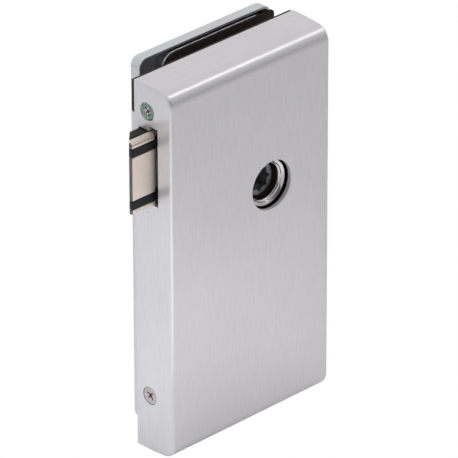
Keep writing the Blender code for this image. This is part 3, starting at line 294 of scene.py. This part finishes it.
def add_node(tree, kind, inputs=None, **settings):
    """Adds a node. An input gets a link if its value is a socket, and else a plain value."""
    made = tree.nodes.new(kind)
    for name, value in settings.items():
        setattr(made, name, value)
    for name, value in (inputs or {}).items():
        if isinstance(value, bpy.types.NodeSocket):
            tree.links.new(value, made.inputs[name])
        else:
            made.inputs[name].default_value = value
    return made


def new_material(name, **values):
    """A Principled material whose plain values are set on the shader's own sockets."""
    made = bpy.data.materials.new(name)
    made.use_nodes = True
    tree = made.node_tree
    shader = tree.nodes["Principled BSDF"]
    for socket, value in values.items():
        shader.inputs[socket.replace("_", " ").title().replace("Ior", "IOR")].default_value = value
    place = add_node(tree, "ShaderNodeTexCoord")
    return made, tree, shader, place.outputs["Object"]


# %% [markdown]
# The cover and the rear cap are aluminium sheet, brushed with an abrasive belt and then clear
# anodised. The belt leaves fine scratches in one direction: down the front and the sides, and along
# the top. Each scratch is about 0.1 mm wide, too fine to show here, so it is drawn about 0.5 mm
# wide. The three named values are marks per metre: across the scratches, along them, and of a faint
# cloudiness over all. The scratches shift the brightness by a few per cent and the roughness a
# little. Scratches that run up and down smear a reflection sideways and keep it sharp up and down,
# so the shader is anisotropic and its tangent lies level, across the scratches. The anodic layer
# over the metal scatters part of the light, so the surface is a little less than fully metallic.

# %% Brushed, clear anodised aluminium
ACROSS_SCRATCH = 1700
ALONG_SCRATCH = 110
CLOUDS = 28


def noise(tree, place, scale, detail, roughness):
    made = add_node(
        tree,
        "ShaderNodeTexNoise",
        {"Vector": place, "Scale": scale, "Detail": detail, "Roughness": roughness},
    )
    return made.outputs["Fac"]


def map_range(tree, value, from_min, from_max, to_min=0.0, to_max=1.0):
    limits = {"From Min": from_min, "From Max": from_max, "To Min": to_min, "To Max": to_max}
    return add_node(tree, "ShaderNodeMapRange", {"Value": value, **limits}).outputs["Result"]


def brushed_aluminium(name, base):
    made, tree, shader, place = new_material(name, metallic=0.65, anisotropic=0.8)
    upright = (ACROSS_SCRATCH, ACROSS_SCRATCH, ALONG_SCRATCH)
    lengthwise = (ALONG_SCRATCH, ACROSS_SCRATCH, ACROSS_SCRATCH)
    grains = []
    for scale in (upright, lengthwise):
        shifted = add_node(tree, "ShaderNodeMapping", {"Vector": place, "Scale": scale})
        grains.append(noise(tree, shifted.outputs["Vector"], 1, 3, 0.6))
    facing = add_node(tree, "ShaderNodeNewGeometry")
    upward = add_node(tree, "ShaderNodeSeparateXYZ", {"Vector": facing.outputs["Normal"]})
    level = add_node(tree, "ShaderNodeMath", {0: upward.outputs["Z"]}, operation="ABSOLUTE")
    level_line = add_node(
        tree,
        "ShaderNodeVectorMath",
        {0: (0, 0.05, 1), 1: facing.outputs["True Normal"]},
        operation="CROSS_PRODUCT",
    )
    tree.links.new(level_line.outputs["Vector"], shader.inputs["Tangent"])
    on_top = map_range(tree, level.outputs[0], 0.6, 0.8)
    mixed = add_node(tree, "ShaderNodeMix", {"Factor": on_top, "A": grains[0], "B": grains[1]})
    grain = mixed.outputs["Result"]
    tones = map_range(tree, grain, 0.3, 0.7, 0.94, 1.05)
    clouded = map_range(tree, noise(tree, place, CLOUDS, 1, 0.4), 0.3, 0.7, 0.985, 1.015)
    shade = add_node(tree, "ShaderNodeMath", {0: tones, 1: clouded}, operation="MULTIPLY")
    tinted = add_node(
        tree,
        "ShaderNodeVectorMath",
        {0: colour(base)[:3], "Scale": shade.outputs[0]},
        operation="SCALE",
    )
    tree.links.new(tinted.outputs["Vector"], shader.inputs["Base Color"])
    tree.links.new(map_range(tree, grain, 0.3, 0.7, 0.33, 0.43), shader.inputs["Roughness"])
    relief = add_node(
        tree, "ShaderNodeBump", {"Strength": 0.12, "Distance": 0.04 * MM, "Height": grain}
    )
    tree.links.new(relief.outputs["Normal"], shader.inputs["Normal"])
    return made


cover_aluminium = brushed_aluminium("brushed_anodised_aluminium", "D3D2D5")
cap_aluminium = brushed_aluminium("brushed_anodised_aluminium_cap", "CDCFD2")
print("brushed aluminium made")

# %% [markdown]
# The other metals and the plastics differ only in a few numbers and in the size of their texture,
# so one function makes them all: a noise of a real size in millimetres varies colour and roughness
# between two values and raises a slight bump.

# %% Grained materials
def grained(name, tones, roughness, size_mm, stretch, bump, relief_mm, **values):
    """Two hex tones and two roughness values, mixed by a noise of this size."""
    made, tree, shader, place = new_material(name, **values)
    scale = [part / (size_mm * MM) for part in stretch]
    shifted = add_node(tree, "ShaderNodeMapping", {"Vector": place, "Scale": scale})
    grain = noise(tree, shifted.outputs["Vector"], 1, 3, 0.55)
    share = map_range(tree, grain, 0.3, 0.7)
    dark, light = (colour(tone) for tone in tones)
    mixed = add_node(
        tree, "ShaderNodeMix", {"Factor": share, "A": dark, "B": light}, data_type="RGBA"
    )
    tree.links.new(mixed.outputs["Result"], shader.inputs["Base Color"])
    tree.links.new(map_range(tree, share, 0, 1, *roughness), shader.inputs["Roughness"])
    relief = add_node(
        tree,
        "ShaderNodeBump",
        {"Strength": bump, "Distance": relief_mm * MM, "Height": grain},
    )
    tree.links.new(relief.outputs["Normal"], shader.inputs["Normal"])
    return made


print("grained materials ready")

# %% [markdown]
# The materials follow one by one. Each starts from what the real surface is and how it was made.
# Polished steel shows what stands round it, with only fine turning marks. The latch is cast or
# sintered steel with a satin nickel layer: warm silver and slightly mottled. Zinc die casting and
# zinc plated sheet are duller and greyer.

# %% Metals
def metal(name, tones, roughness, size_mm, stretch=(1, 1, 1), bump=0.15):
    return grained(name, tones, roughness, size_mm, stretch, bump, relief_mm=0.03, metallic=1.0)


polished_steel = metal("polished_steel", ("C0BFC0", "D4D3D3"), (0.06, 0.12), 0.6, (1, 6, 1), 0.03)
satin_nickel = metal(
    "satin_nickel_plated_steel", ("EDE2D7", "F8F0E8"), (0.5, 0.62), 0.6, (1, 1, 0.5), 0.08
)
zinc_casting = metal("die_cast_zinc", ("BFC3CA", "D2D5DA"), (0.26, 0.38), 0.8)
galvanised = metal("galvanised_sheet_steel", ("84878C", "A3A6AA"), (0.35, 0.5), 2.5)
spring_wire = metal("drawn_spring_steel", ("8C8E93", "ABADB1"), (0.22, 0.34), 0.6, (0.3, 1, 1))
# The bush's bronze is made nearly black: painted shade for the shadowed gap inside the handle ring.
bronze_painted_shade = metal("sintered_bronze_painted_shade", ("33291F", "43362A"), (0.45, 0.6), 0.5)
bright_zinc = metal("bright_zinc_plated_steel", ("A79F9C", "C6BFBC"), (0.28, 0.42), 0.7)
side_zinc = metal("bright_zinc_plated_side_screw", ("A79F9C", "C6BFBC"), (0.28, 0.42), 0.7)
green_zinc = metal("blue_green_passivated_zinc", ("5C7A70", "8CA39A"), (0.22, 0.38), 1.2)
print("metals made")

# %% [markdown]
# Three of these surfaces aren't even. In the dish of the upper screw the driver has rubbed off the
# green layer down to pale zinc. Oil and dust lie deep in both crosses and hide the metal. The blunt
# nose of the latch gets a darker grey-green tone: that is painted shade, standing in for the shade on
# that narrow face. All three change with the place along X alone, so one function mixes the other
# tone in between two places on the drawing.

# %% Dirt, wear and painted shade
def stain_and_shade(made, tone, clean_x, full_x, metallic):
    """Mixes another tone into a plating, from none at one X to all of it at the other."""
    tree = made.node_tree
    shader = tree.nodes["Principled BSDF"]
    place = add_node(tree, "ShaderNodeTexCoord")
    inward = add_node(tree, "ShaderNodeSeparateXYZ", {"Vector": place.outputs["Object"]})
    limits = spot(clean_x, 0, 0).x, spot(full_x, 0, 0).x
    mixed = add_node(
        tree,
        "ShaderNodeMix",
        {
            "Factor": map_range(tree, inward.outputs["X"], *limits),
            "A": shader.inputs["Base Color"].links[0].from_socket,
            "B": colour(tone),
        },
        data_type="RGBA",
    )
    tree.links.new(mixed.outputs["Result"], shader.inputs["Base Color"])
    if metallic < 1:
        share = map_range(tree, inward.outputs["X"], *limits, 1.0, metallic)
        tree.links.new(share, shader.inputs["Metallic"])


# PALE_ZINC and OLD_OIL are the screws' real wear and dirt; the latch nose's tone is painted shade.
PALE_ZINC, OLD_OIL, NOSE_PAINTED_SHADE = "D8CECB", "7A5A52", "5E655F"
stain_and_shade(green_zinc, PALE_ZINC, 0.2, 0.32, 1)
for plated in (side_zinc, green_zinc):
    stain_and_shade(plated, OLD_OIL, 0.5, 1.0, 0.3)
# Painted shade: the latch's nose is mixed towards a darker grey-green and made less metallic.
stain_and_shade(satin_nickel, NOSE_PAINTED_SHADE, -11.6, -11.85, 0.6)
print("dirt, wear and painted shade mixed in")

# %% [markdown]
# The pads are cut from black sheet rubber: dull, very slightly brown and finely pitted. The latch's
# ramp and the sleeves are moulded in black plastic, which is smoother and shows a soft highlight.
# Plastics reflect a little light as glass does, with an IOR near 1.5.

# %% Rubber and plastics
def moulded(name, tones, roughness, size_mm, ior, bump):
    plastic = {"metallic": 0.0, "ior": ior, "specular_ior_level": 0.25}
    return grained(name, tones, roughness, size_mm, (1, 1, 1), bump, relief_mm=0.05, **plastic)


sheet_rubber = moulded("black_sheet_rubber", ("17120F", "40352E"), (0.7, 0.9), 0.6, 1.52, 0.9)
black_nylon = moulded("black_moulded_nylon", ("131214", "1E1D20"), (0.4, 0.55), 0.6, 1.53, 0.2)
black_acetal = moulded("black_acetal", ("242120", "37322F"), (0.35, 0.5), 0.8, 1.48, 0.15)
print("rubber and plastics made")

# %% [markdown]
# The cover is one bent and welded shell. A block gets its two large bends at the front top and
# bottom, then the small rounding of both side edges, which runs round the bends as well. A short
# lip beside the latch is joined to its back edge. A second, smaller block cuts out the inside, with
# bends that keep the wall even.

# %% Cover shell
COVER = spot(0, 0, 0), spot(WIDTH, DEPTH, HEIGHT)
BEND = 6.6 * MM
SIDE_EDGE = 1.3 * MM
WALL, SIDE_WALL = 1.8, 2.5


def bend_front_edges(piece, low, high, radius, steps):
    pick(
        piece,
        "EDGE",
        lambda e: runs_along(e, 0)
        and on_plane(e, 1, low.y)
        and (on_plane(e, 2, low.z) or on_plane(e, 2, high.z)),
    )
    round_picked(radius, steps)


cover = add_block("cover_shell", *COVER)
bend_front_edges(cover, *COVER, BEND, 16)
pick(
    cover,
    "EDGE",
    lambda e: (on_plane(e, 0, COVER[0].x) or on_plane(e, 0, COVER[1].x))
    and all(c.co.y < COVER[0].y + BEND + SLACK for c in e.verts),
)
round_picked(SIDE_EDGE, 5)
lip = add_block("lip", spot(0, 18.5, 107.9), spot(3.4, 22.3, 150.5))
boolean(cover, lip, "UNION")
inside = spot(SIDE_WALL, WALL, WALL), spot(WIDTH - SIDE_WALL, DEPTH + 4, HEIGHT - WALL)
hollow = add_block("hollow", *inside)
bend_front_edges(hollow, *inside, BEND - WALL * MM, 12)
boolean(cover, hollow)
print("shell", len(cover.data.polygons), "faces")

# %% [markdown]
# Now the openings: the stepped one for the latch, two countersinks for the side screws, two pockets
# inside the right wall for the snap tongues, and the round handle hole. A tool that cuts brushed
# sheet leaves the mouth slightly broken: 0.2 mm at the latch opening and the countersinks, and a
# little more at the handle hole, where it shows as a bright thin ring. So these edges are picked
# and rounded after the cut.

# %% Openings of the cover
HOLE_RADIUS = 10.7


def add_round(name, radius, centre, length, vertices=96):
    """A cylinder along Y, of this radius and length in millimetres."""
    clear_selection()
    bpy.ops.mesh.primitive_cylinder_add(
        vertices=vertices,
        radius=radius * MM,
        depth=length * MM,
        location=centre,
        rotation=(math.pi / 2, 0, 0),
    )
    piece = bpy.context.object
    piece.name = name
    bpy.ops.object.transform_apply(location=True, rotation=True, scale=True)
    return piece


opening = add_block("opening", spot(-2, 7.9, 113.1), spot(3.5, 18.4, 145.3))
notch = add_block("notch", spot(-2, 7.9, 140), spot(3.5, 12.9, 147.4))
boolean(opening, notch, "UNION")
boolean(cover, opening)
for height in (LOWER_SCREW, UPPER_SCREW):
    sink = turn_profile(
        "countersink",
        "X",
        spot(0, SCREW_Y, height),
        [(0, -1), (3.92, -1), (3.92, 0.57), (2.3, 2.19), (2.3, 3.5), (0, 3.5)],
        48,
    )
    boolean(cover, sink)
for height in (35, 130):
    pocket = add_block("pocket", spot(83.5, 12.7, height - 5.3), spot(85.7, 15.3, height + 5.3))
    boolean(cover, pocket)
boolean(cover, add_round("handle_bore", HOLE_RADIUS, HUB, 10))
print("open cover", len(cover.data.polygons), "faces")

# %% [markdown]
# The mouths are found by where they lie: on the side face all edges that keep clear of its outline,
# and on the front all edges at the hole's radius.

# %% Broken edges of the openings
def on_side_mouth(edge):
    """Edges of the latch opening and the countersinks, where they break through the side face."""
    return on_plane(edge, 0, COVER[0].x) and all(
        spot(0, 5, 0).y < c.co.y < spot(0, 18.45, 0).y for c in edge.verts
    )


def on_hole_mouth(edge, face_y):
    """Edges of the round handle hole in the face at this Y."""
    return all(
        abs(c.co.y - face_y) < SLACK
        and abs(math.hypot(c.co.x - HUB.x, c.co.z - HUB.z) - HOLE_RADIUS * MM) < 0.05 * MM
        for c in edge.verts
    )


side_edges = pick(cover, "EDGE", on_side_mouth)
round_picked(0.2 * MM, 2)
hole_edges = pick(cover, "EDGE", lambda e: on_hole_mouth(e, COVER[0].y))
round_picked(0.35 * MM, 3)
print("mouth edges", side_edges, "on the side and", hole_edges, "in front")
finish_piece(cover, "housing", cover_aluminium, "brushed_aluminium", "front_cover")

# %% [markdown]
# The cap on the rear is a shallow tray pressed from the same sheet. A block gets rounded corners
# and a soft edge all round its back, loses its open side, and a Solidify modifier gives the skin
# its thickness inwards. Its rim comes 1 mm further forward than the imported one, as deep as it looks
# on the real lock. Then the rear handle hole is cut and its mouth rounded.

# %% Rear cap
CAP = spot(12.4, 31.2, 0), spot(84.3, 37.5, HEIGHT)
cap = add_block("cap_tray", *CAP)
pick(cap, "EDGE", lambda e: runs_along(e, 1))
round_picked(4 * MM, 10)
pick(cap, "EDGE", lambda e: on_plane(e, 1, CAP[1].y))
round_picked(2.4 * MM, 8)
pick(cap, "FACE", lambda f: f.normal.y < -0.9)
bpy.ops.mesh.delete(type="FACE")
bpy.ops.object.mode_set(mode="OBJECT")
make_active(cap)
bpy.ops.object.modifier_add(type="SOLIDIFY")
skin = cap.modifiers[-1]
skin.thickness = 0.9 * MM
skin.offset = -1
bpy.ops.object.modifier_apply(modifier=skin.name)
boolean(cap, add_round("rear_bore", HOLE_RADIUS, spot(HUB_X, 37.5, HUB_Z), 8))
pick(cap, "EDGE", lambda e: on_hole_mouth(e, CAP[1].y))
round_picked(0.3 * MM, 3)
finish_piece(cap, "housing", cap_aluminium, "brushed_aluminium", "rear_cap")

# %% [markdown]
# The clamping plate presses the rear pad against the glass. Only its top and left edges show in the
# slot. It is a plate with rounded corners and a small bevel, a hub hole, and countersunk holes on
# the rear for the clamp screws.

# %% Clamping plate
plate = add_block("clamp_plate", spot(25.8, 32.0, 2.7), spot(83.0, 36.3, 162.3))
pick(plate, "EDGE", lambda e: runs_along(e, 1))
round_picked(6.5 * MM, 12)
soften(plate, 1.3 * MM, 4)
boolean(plate, add_round("hub_hole", HOLE_RADIUS, spot(HUB_X, 34, HUB_Z), 12))
for x in (35, 76):
    for z in (15, 150):
        sink = turn_profile(
            "sink",
            "Y",
            spot(x, 0, z),
            [(0, 31), (3.3, 31), (3.3, 32.8), (6.3, 35.8), (6.3, 37.3), (0, 37.3)],
            40,
        )
        boolean(plate, sink)
finish_piece(plate, "housing", zinc_casting, "die_cast_zinc", "clamping_plate")

# %% [markdown]
# The latch has two halves. The front half is metal: a comb with two grooves across its face, a
# blunt nose, and the start of the ramp. The other half is black plastic: the rest of the ramp, and
# two bands that fill the grooves. Each is a block, cut along the 45 degree ramp with bisect and
# then slotted.

# %% Measures of the latch
TIP_X, FACE_Y, RAMP_Y = -12, 9.8, 11.4
LATCH_LOW, LATCH_HIGH = 113.4, 145
BANDS = ((138.7, 142.3), (115.6, 119.2))


def cut_ramp(piece):
    make_active(piece)
    bpy.ops.object.mode_set(mode="EDIT")
    bpy.ops.mesh.select_all(action="SELECT")
    bpy.ops.mesh.bisect(
        plane_co=spot(TIP_X, RAMP_Y, 0),
        plane_no=(-1, 1, 0),
        use_fill=True,
        clear_outer=True,
        clear_inner=False,
    )
    bpy.ops.object.mode_set(mode="OBJECT")


print("latch from", LATCH_LOW, "to", LATCH_HIGH, "mm, its bands at", BANDS)

# %% [markdown]
# The metal half also carries the spring's seat and, behind the face, a neck that lies a little
# deeper. Its top bar has a wide bevel along the front and one fine groove below that. The other
# edges are only softened.

# %% Metal half of the latch
bolt = add_block("latch_bolt_head", spot(TIP_X, FACE_Y, LATCH_LOW), spot(14, 13.1, LATCH_HIGH))
seat = add_block("spring_seat", spot(10, 12, 137.2), spot(14, 18.1, LATCH_HIGH))
boolean(bolt, seat, "UNION")
cut_ramp(bolt)
face_y, top_z = spot(0, FACE_Y, 0).y, spot(0, 0, LATCH_HIGH).z
pick(
    bolt,
    "EDGE",
    lambda e: runs_along(e, 0) and on_plane(e, 1, face_y) and on_plane(e, 2, top_z),
)
round_picked(0.75 * MM, 1)
for low, high in BANDS:
    boolean(bolt, add_block("groove", spot(-13, 9, low - 0.2), spot(6, 14, high + 0.2)))
boolean(bolt, add_block("neck", spot(0.5, 9, LATCH_LOW - 1), spot(15, 11.2, LATCH_HIGH + 1)))
for height in (124.2, 134.2):
    boolean(bolt, add_round("rivet_hole", 1.8, spot(11, 12.8, height), 4, 24))
soften(bolt, 0.35 * MM, 3)
boolean(bolt, add_block("ridge_line", spot(-13, 9, 143.7), spot(6, 10.4, 144.1)))
finish_piece(bolt, "latch", satin_nickel, "latch_metal", "latch_bolt")

# %% [markdown]
# The black half is cut back between and beside its two bands, where the metal half lies, and behind
# them, where the neck passes.

# %% Black half of the latch
insert = add_block("latch_ramp", spot(TIP_X, FACE_Y, LATCH_LOW), spot(7.5, 18.1, LATCH_HIGH))
cut_ramp(insert)
gaps = [(LATCH_HIGH + 1, BANDS[0][1]), (BANDS[0][0], BANDS[1][1]), (BANDS[1][0], LATCH_LOW - 1)]
for high, low in gaps:
    boolean(insert, add_block("gap", spot(-13, 9, low), spot(8, 13.4, high)))
root_gap = add_block("root_gap", spot(5.8, 9, LATCH_LOW - 1), spot(8, 13.4, LATCH_HIGH + 1))
boolean(insert, root_gap)
soften(insert, 0.3 * MM, 3)
finish_piece(insert, "latch", black_nylon, "black_plastic", "latch_insert")

# %% [markdown]
# The polished ring in each handle hole is turned in steps: a rim that is rounded outside and
# conical inside, a lower shoulder and the bore. Its section is drawn point by point and spun.

# %% Handle rings
def ring_section(face, depth):
    sign = math.copysign(1, depth)
    steps = [
        (10.4, abs(depth)),
        (9.4, abs(depth)),
        (9.4, 2.3),
        (7.9, 2.0),
        (7.85, 1.7),
        (8.0, 1.45),
        (8.5, 1.2),
        (8.62, 1.1),
        (8.7, 0.7),
        (8.8, 0.55),
        (9.7, 0.05),
        (9.95, 0.0),
        (10.2, 0.1),
        (10.35, 0.3),
        (10.4, 0.6),
    ]
    return [(radius, face + sign * along) for radius, along in steps]


for name, face, depth in (("handle_ring_front", 3.0, 4.1), ("handle_ring_rear", 35.8, -3.5)):
    section = ring_section(face, depth)
    ring = turn_profile(name + "_turned", "Y", HUB, section + section[:1], 96)
    finish_piece(ring, "housing", polished_steel, "polished_steel", name, angle=50)

# %% [markdown]
# The side screws are countersunk with a cross recess. The head is turned, slightly domed, with a
# shallow dish round the cross. Two crossed wedges cut the recess, each narrower towards its bottom,
# and each cross stands as its screw was left. The upper screw is blue-green from its passivation,
# and the lower one is bright zinc, both with dirt in their crosses.

# %% Side screws
SCREW_SECTION = [
    (0, 0.6),
    (0.5, 0.55),
    (1.7, 0.16),
    (2.6, 0.14),
    (3.45, 0.2),
    (3.72, 0.28),
    (3.82, 0.38),
    (3.76, 0.48),
    (2.0, 2.05),
    (2.0, 10.6),
    (1.6, 11.0),
    (0, 11.0),
]
WEDGE = Vector((-1.0, -3.0, -0.5)) * MM, Vector((1.4, 3.0, 0.5)) * MM


def side_screw(name, height, cross, finish, slot):
    centre = spot(0, SCREW_Y, height)
    screw = turn_profile(name + "_turned", "X", centre, SCREW_SECTION, 64)
    for turn in (cross, cross + 90):
        wedge = add_block("wedge", *WEDGE)
        pick(wedge, "VERT", lambda v: v.co.x > 0)
        bpy.ops.transform.resize(value=(1, 0.45, 0.6))
        bpy.ops.object.mode_set(mode="OBJECT")
        turned = Matrix.Rotation(math.radians(turn), 4, "X")
        wedge.data.transform(Matrix.Translation(centre) @ turned)
        boolean(screw, wedge)
    finish_piece(screw, "housing", finish, slot, name)


side_screw("cover_screw_upper", UPPER_SCREW, 53, green_zinc, "green_passivated_zinc")
side_screw("cover_screw_lower", LOWER_SCREW, 40, side_zinc, "bright_zinc")

# %% [markdown]
# The compression springs are real coils of round wire. A coil is a curve whose points follow a
# helix, closer together towards both ends, given the wire's thickness and turned into a mesh. The
# return spring ends 0.3 mm before the follower's lug, whose tip is a half round of 2.5 mm, 14 mm
# from the hub's axis and 19 degrees out of the upright.

# %% Springs
WIRE_RADIUS, COIL_RADIUS, SPRING_Y = 0.4, 2.4, 13.95
TURNS, POINTS_PER_TURN = 8.5, 20


def coil(name, start, end, height):
    clear_selection()
    path = bpy.data.curves.new(name, "CURVE")
    path.dimensions = "3D"
    path.bevel_depth = WIRE_RADIUS * MM
    path.bevel_resolution = 2
    path.use_fill_caps = True
    line = path.splines.new("POLY")
    count = round(TURNS * POINTS_PER_TURN)
    length = end - start - 2 * WIRE_RADIUS
    line.points.add(count)
    for i, point in enumerate(line.points):
        share = i / count
        close = 0.045 * math.sin(4 * math.pi * share) * (1 - 4 * share * (1 - share))
        angle = 2 * math.pi * i / POINTS_PER_TURN
        x = start + WIRE_RADIUS + length * (share - close)
        y = SPRING_Y + COIL_RADIUS * math.cos(angle)
        point.co = (*spot(x, y, height + COIL_RADIUS * math.sin(angle)), 1)
    wire = bpy.data.objects.new(name, path)
    bpy.context.scene.collection.objects.link(wire)
    make_active(wire)
    bpy.ops.object.convert(target="MESH")
    wire = bpy.context.object
    finish_piece(wire, "housing", spring_wire, "spring_steel", name.replace("_wire", ""))
    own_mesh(wire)


LUG_REACH, LUG_TURN, LUG_TIP, GAP = 14, math.radians(19), 2.5, 0.3
lug_z = HUB_Z - LUG_REACH * math.cos(LUG_TURN)
lug_x = HUB_X + LUG_REACH * math.sin(LUG_TURN)
coil("latch_spring_wire", 14.3, 39.7, 140.6)
coil("return_spring_wire", 30.31, lug_x - LUG_TIP - GAP, lug_z)

# %% [markdown]
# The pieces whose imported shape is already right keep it, and get their material from what they
# are. A name here stands for all nodes that begin with it, and where two fit, the later one counts.

# %% Materials of the other pieces
FINISHES = {
    "front_gasket": sheet_rubber,
    "rear_gasket": sheet_rubber,
    "base_plate": galvanised,
    "case_lid": galvanised,
    "follower": galvanised,
    "latch_tail": galvanised,
    "latch_spring_stop": galvanised,
    "return_spring_stop": galvanised,
    "latch_rail": black_acetal,
    "follower_bush": bronze_painted_shade,
    "glass_sleeve": black_nylon,
    "cap_block": black_nylon,
    "clamp_screw": bright_zinc,
    "lid_screw": bright_zinc,
    "tail_rivet": bright_zinc,
    "rest_stop": bright_zinc,
    "end_stop": bright_zinc,
    "tail_guide_pin": bright_zinc,
}
dressed = set()
for name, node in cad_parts.items():
    for start, finish in FINISHES.items():
        if name.startswith(start):
            node.data.materials.clear()
            node.data.materials.append(finish)
            node.data.shade_smooth()
            node.data.set_sharp_from_angle(angle=math.radians(35))
            dressed.add(name)
print("nodes with materials", len(dressed), "of", len(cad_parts))

# %% [markdown]
# The lock stands on plain white paper in soft light. The camera sees the paper as pure white, and
# everything else sees it as it is lit, so the metal reflects real brightness and falloff. The paper
# also gets a collection of its own, to which the lamps over it are limited later.

# %% Floor
def camera_sees_white(tree, kind, real, output):
    """Mixes in plain white for rays that come straight from the camera."""
    rays = add_node(tree, "ShaderNodeLightPath")
    white = add_node(tree, kind, {"Color": (1, 1, 1, 1), "Strength": 1.0})
    mixed = add_node(
        tree,
        "ShaderNodeMixShader",
        {0: rays.outputs["Is Camera Ray"], 1: real, 2: white.outputs[0]},
    )
    tree.links.new(mixed.outputs[0], output.inputs["Surface"])


clear_selection()
bpy.ops.mesh.primitive_plane_add(size=12, location=(0, 0, cad_low.z - 0.05 * MM))
floor = bpy.context.object
floor.name = "floor"
paper, tree, shader, _ = new_material("white_paper", base_color=colour("E6E6E6"), roughness=0.9)
camera_sees_white(tree, "ShaderNodeEmission", shader.outputs[0], tree.nodes["Material Output"])
floor.data.materials.append(paper)
paper_only = bpy.data.collections.new("paper_only")
paper_only.objects.link(floor)
print("floor at", round(floor.location.z, 5))

# %% [markdown]
# The studio round it is white to the camera too. To the metal it is bright from above and from
# behind, and dimmer low down in front. A dark part of the room lies in front as well, a little to
# the left and higher than the lock: the upper bend and the ring show it as grey.

# %% World
DARK_ROOM = (-0.18, -0.93, 0.32)

world = bpy.data.worlds.new("studio")
bpy.context.scene.world = world
world.use_nodes = True
tree = world.node_tree
seen = tree.nodes["Background"]
seen.inputs["Color"].default_value = colour("F4F3F2")
direction = add_node(tree, "ShaderNodeTexCoord").outputs["Generated"]
parts = add_node(tree, "ShaderNodeSeparateXYZ", {"Vector": direction})
high = map_range(tree, parts.outputs["Z"], 0.15, 0.55)
behind = map_range(tree, parts.outputs["Y"], -0.5, 0.1)
bright = add_node(tree, "ShaderNodeMath", {0: high, 1: behind}, operation="MAXIMUM")
walls = map_range(tree, bright.outputs[0], 0, 1, 0.6, 1.03)
towards = add_node(
    tree, "ShaderNodeVectorMath", {0: direction, 1: DARK_ROOM}, operation="DOT_PRODUCT"
)
shadow = map_range(tree, towards.outputs["Value"], 0.75, 0.93, 1.0, 0.25)
strength = add_node(tree, "ShaderNodeMath", {0: walls, 1: shadow}, operation="MULTIPLY")
tree.links.new(strength.outputs[0], seen.inputs["Strength"])
camera_sees_white(tree, "ShaderNodeBackground", seen.outputs[0], tree.nodes["World Output"])
print("world made")

# %% [markdown]
# A small softbox high on the right shows as the white band along the upper front bend. Flat metal
# faces show the paper they look down on, so three soft lamps hang low over the paper: a warm one in
# front of the lock and two cool ones at its side. They light only the paper and stay out of every
# reflection, so the lock shows the bright paper but no hard edge at their height. A faint card lies
# on the paper where the rounded upright edge between front and side looks.

# %% Lamps
def add_lamp(name, place, aim, width, depth, power, tint="FFFFFF"):
    """A rectangular area lamp that looks at the point it is aimed at."""
    lamp = bpy.data.lights.new(name, "AREA")
    lamp.shape = "RECTANGLE"
    lamp.size = width
    lamp.size_y = depth
    lamp.energy = power
    lamp.color = colour(tint)[:3]
    holder = bpy.data.objects.new(name, lamp)
    bpy.context.scene.collection.objects.link(holder)
    holder.location = place
    holder.rotation_euler = (aim - place).to_track_quat("-Z", "Y").to_euler()
    return holder


UP = Vector((0, 0, 1))
upper_bend = spot(44, 2, 163)
add_lamp("band", upper_bend + Vector((0.61, -0.3, 0.72)), upper_bend, 0.3, 0.1, 0.88)
for name, place, power, tint in (
    ("front_paper", Vector((0.03, -0.11, 0.09)), 0.07, "FFFCFA"),
    ("side_paper_near", Vector((-0.07, 0.03, 0.09)), 0.07, "F0F4FF"),
    ("side_paper_far", Vector((-0.2, 0.16, 0.12)), 0.12, "F0F4FF"),
):
    paper_lamp = add_lamp(name, place, place - UP, 0.1, 0.1, power, tint)
    paper_lamp.visible_glossy = False
    paper_lamp.light_linking.receiver_collection = paper_only
card = Vector((-0.215, -0.095, 0.004))
add_lamp("edge_card", card, card + UP, 0.24, 0.13, 0.13)
bpy.context.scene.view_settings.view_transform = "Standard"
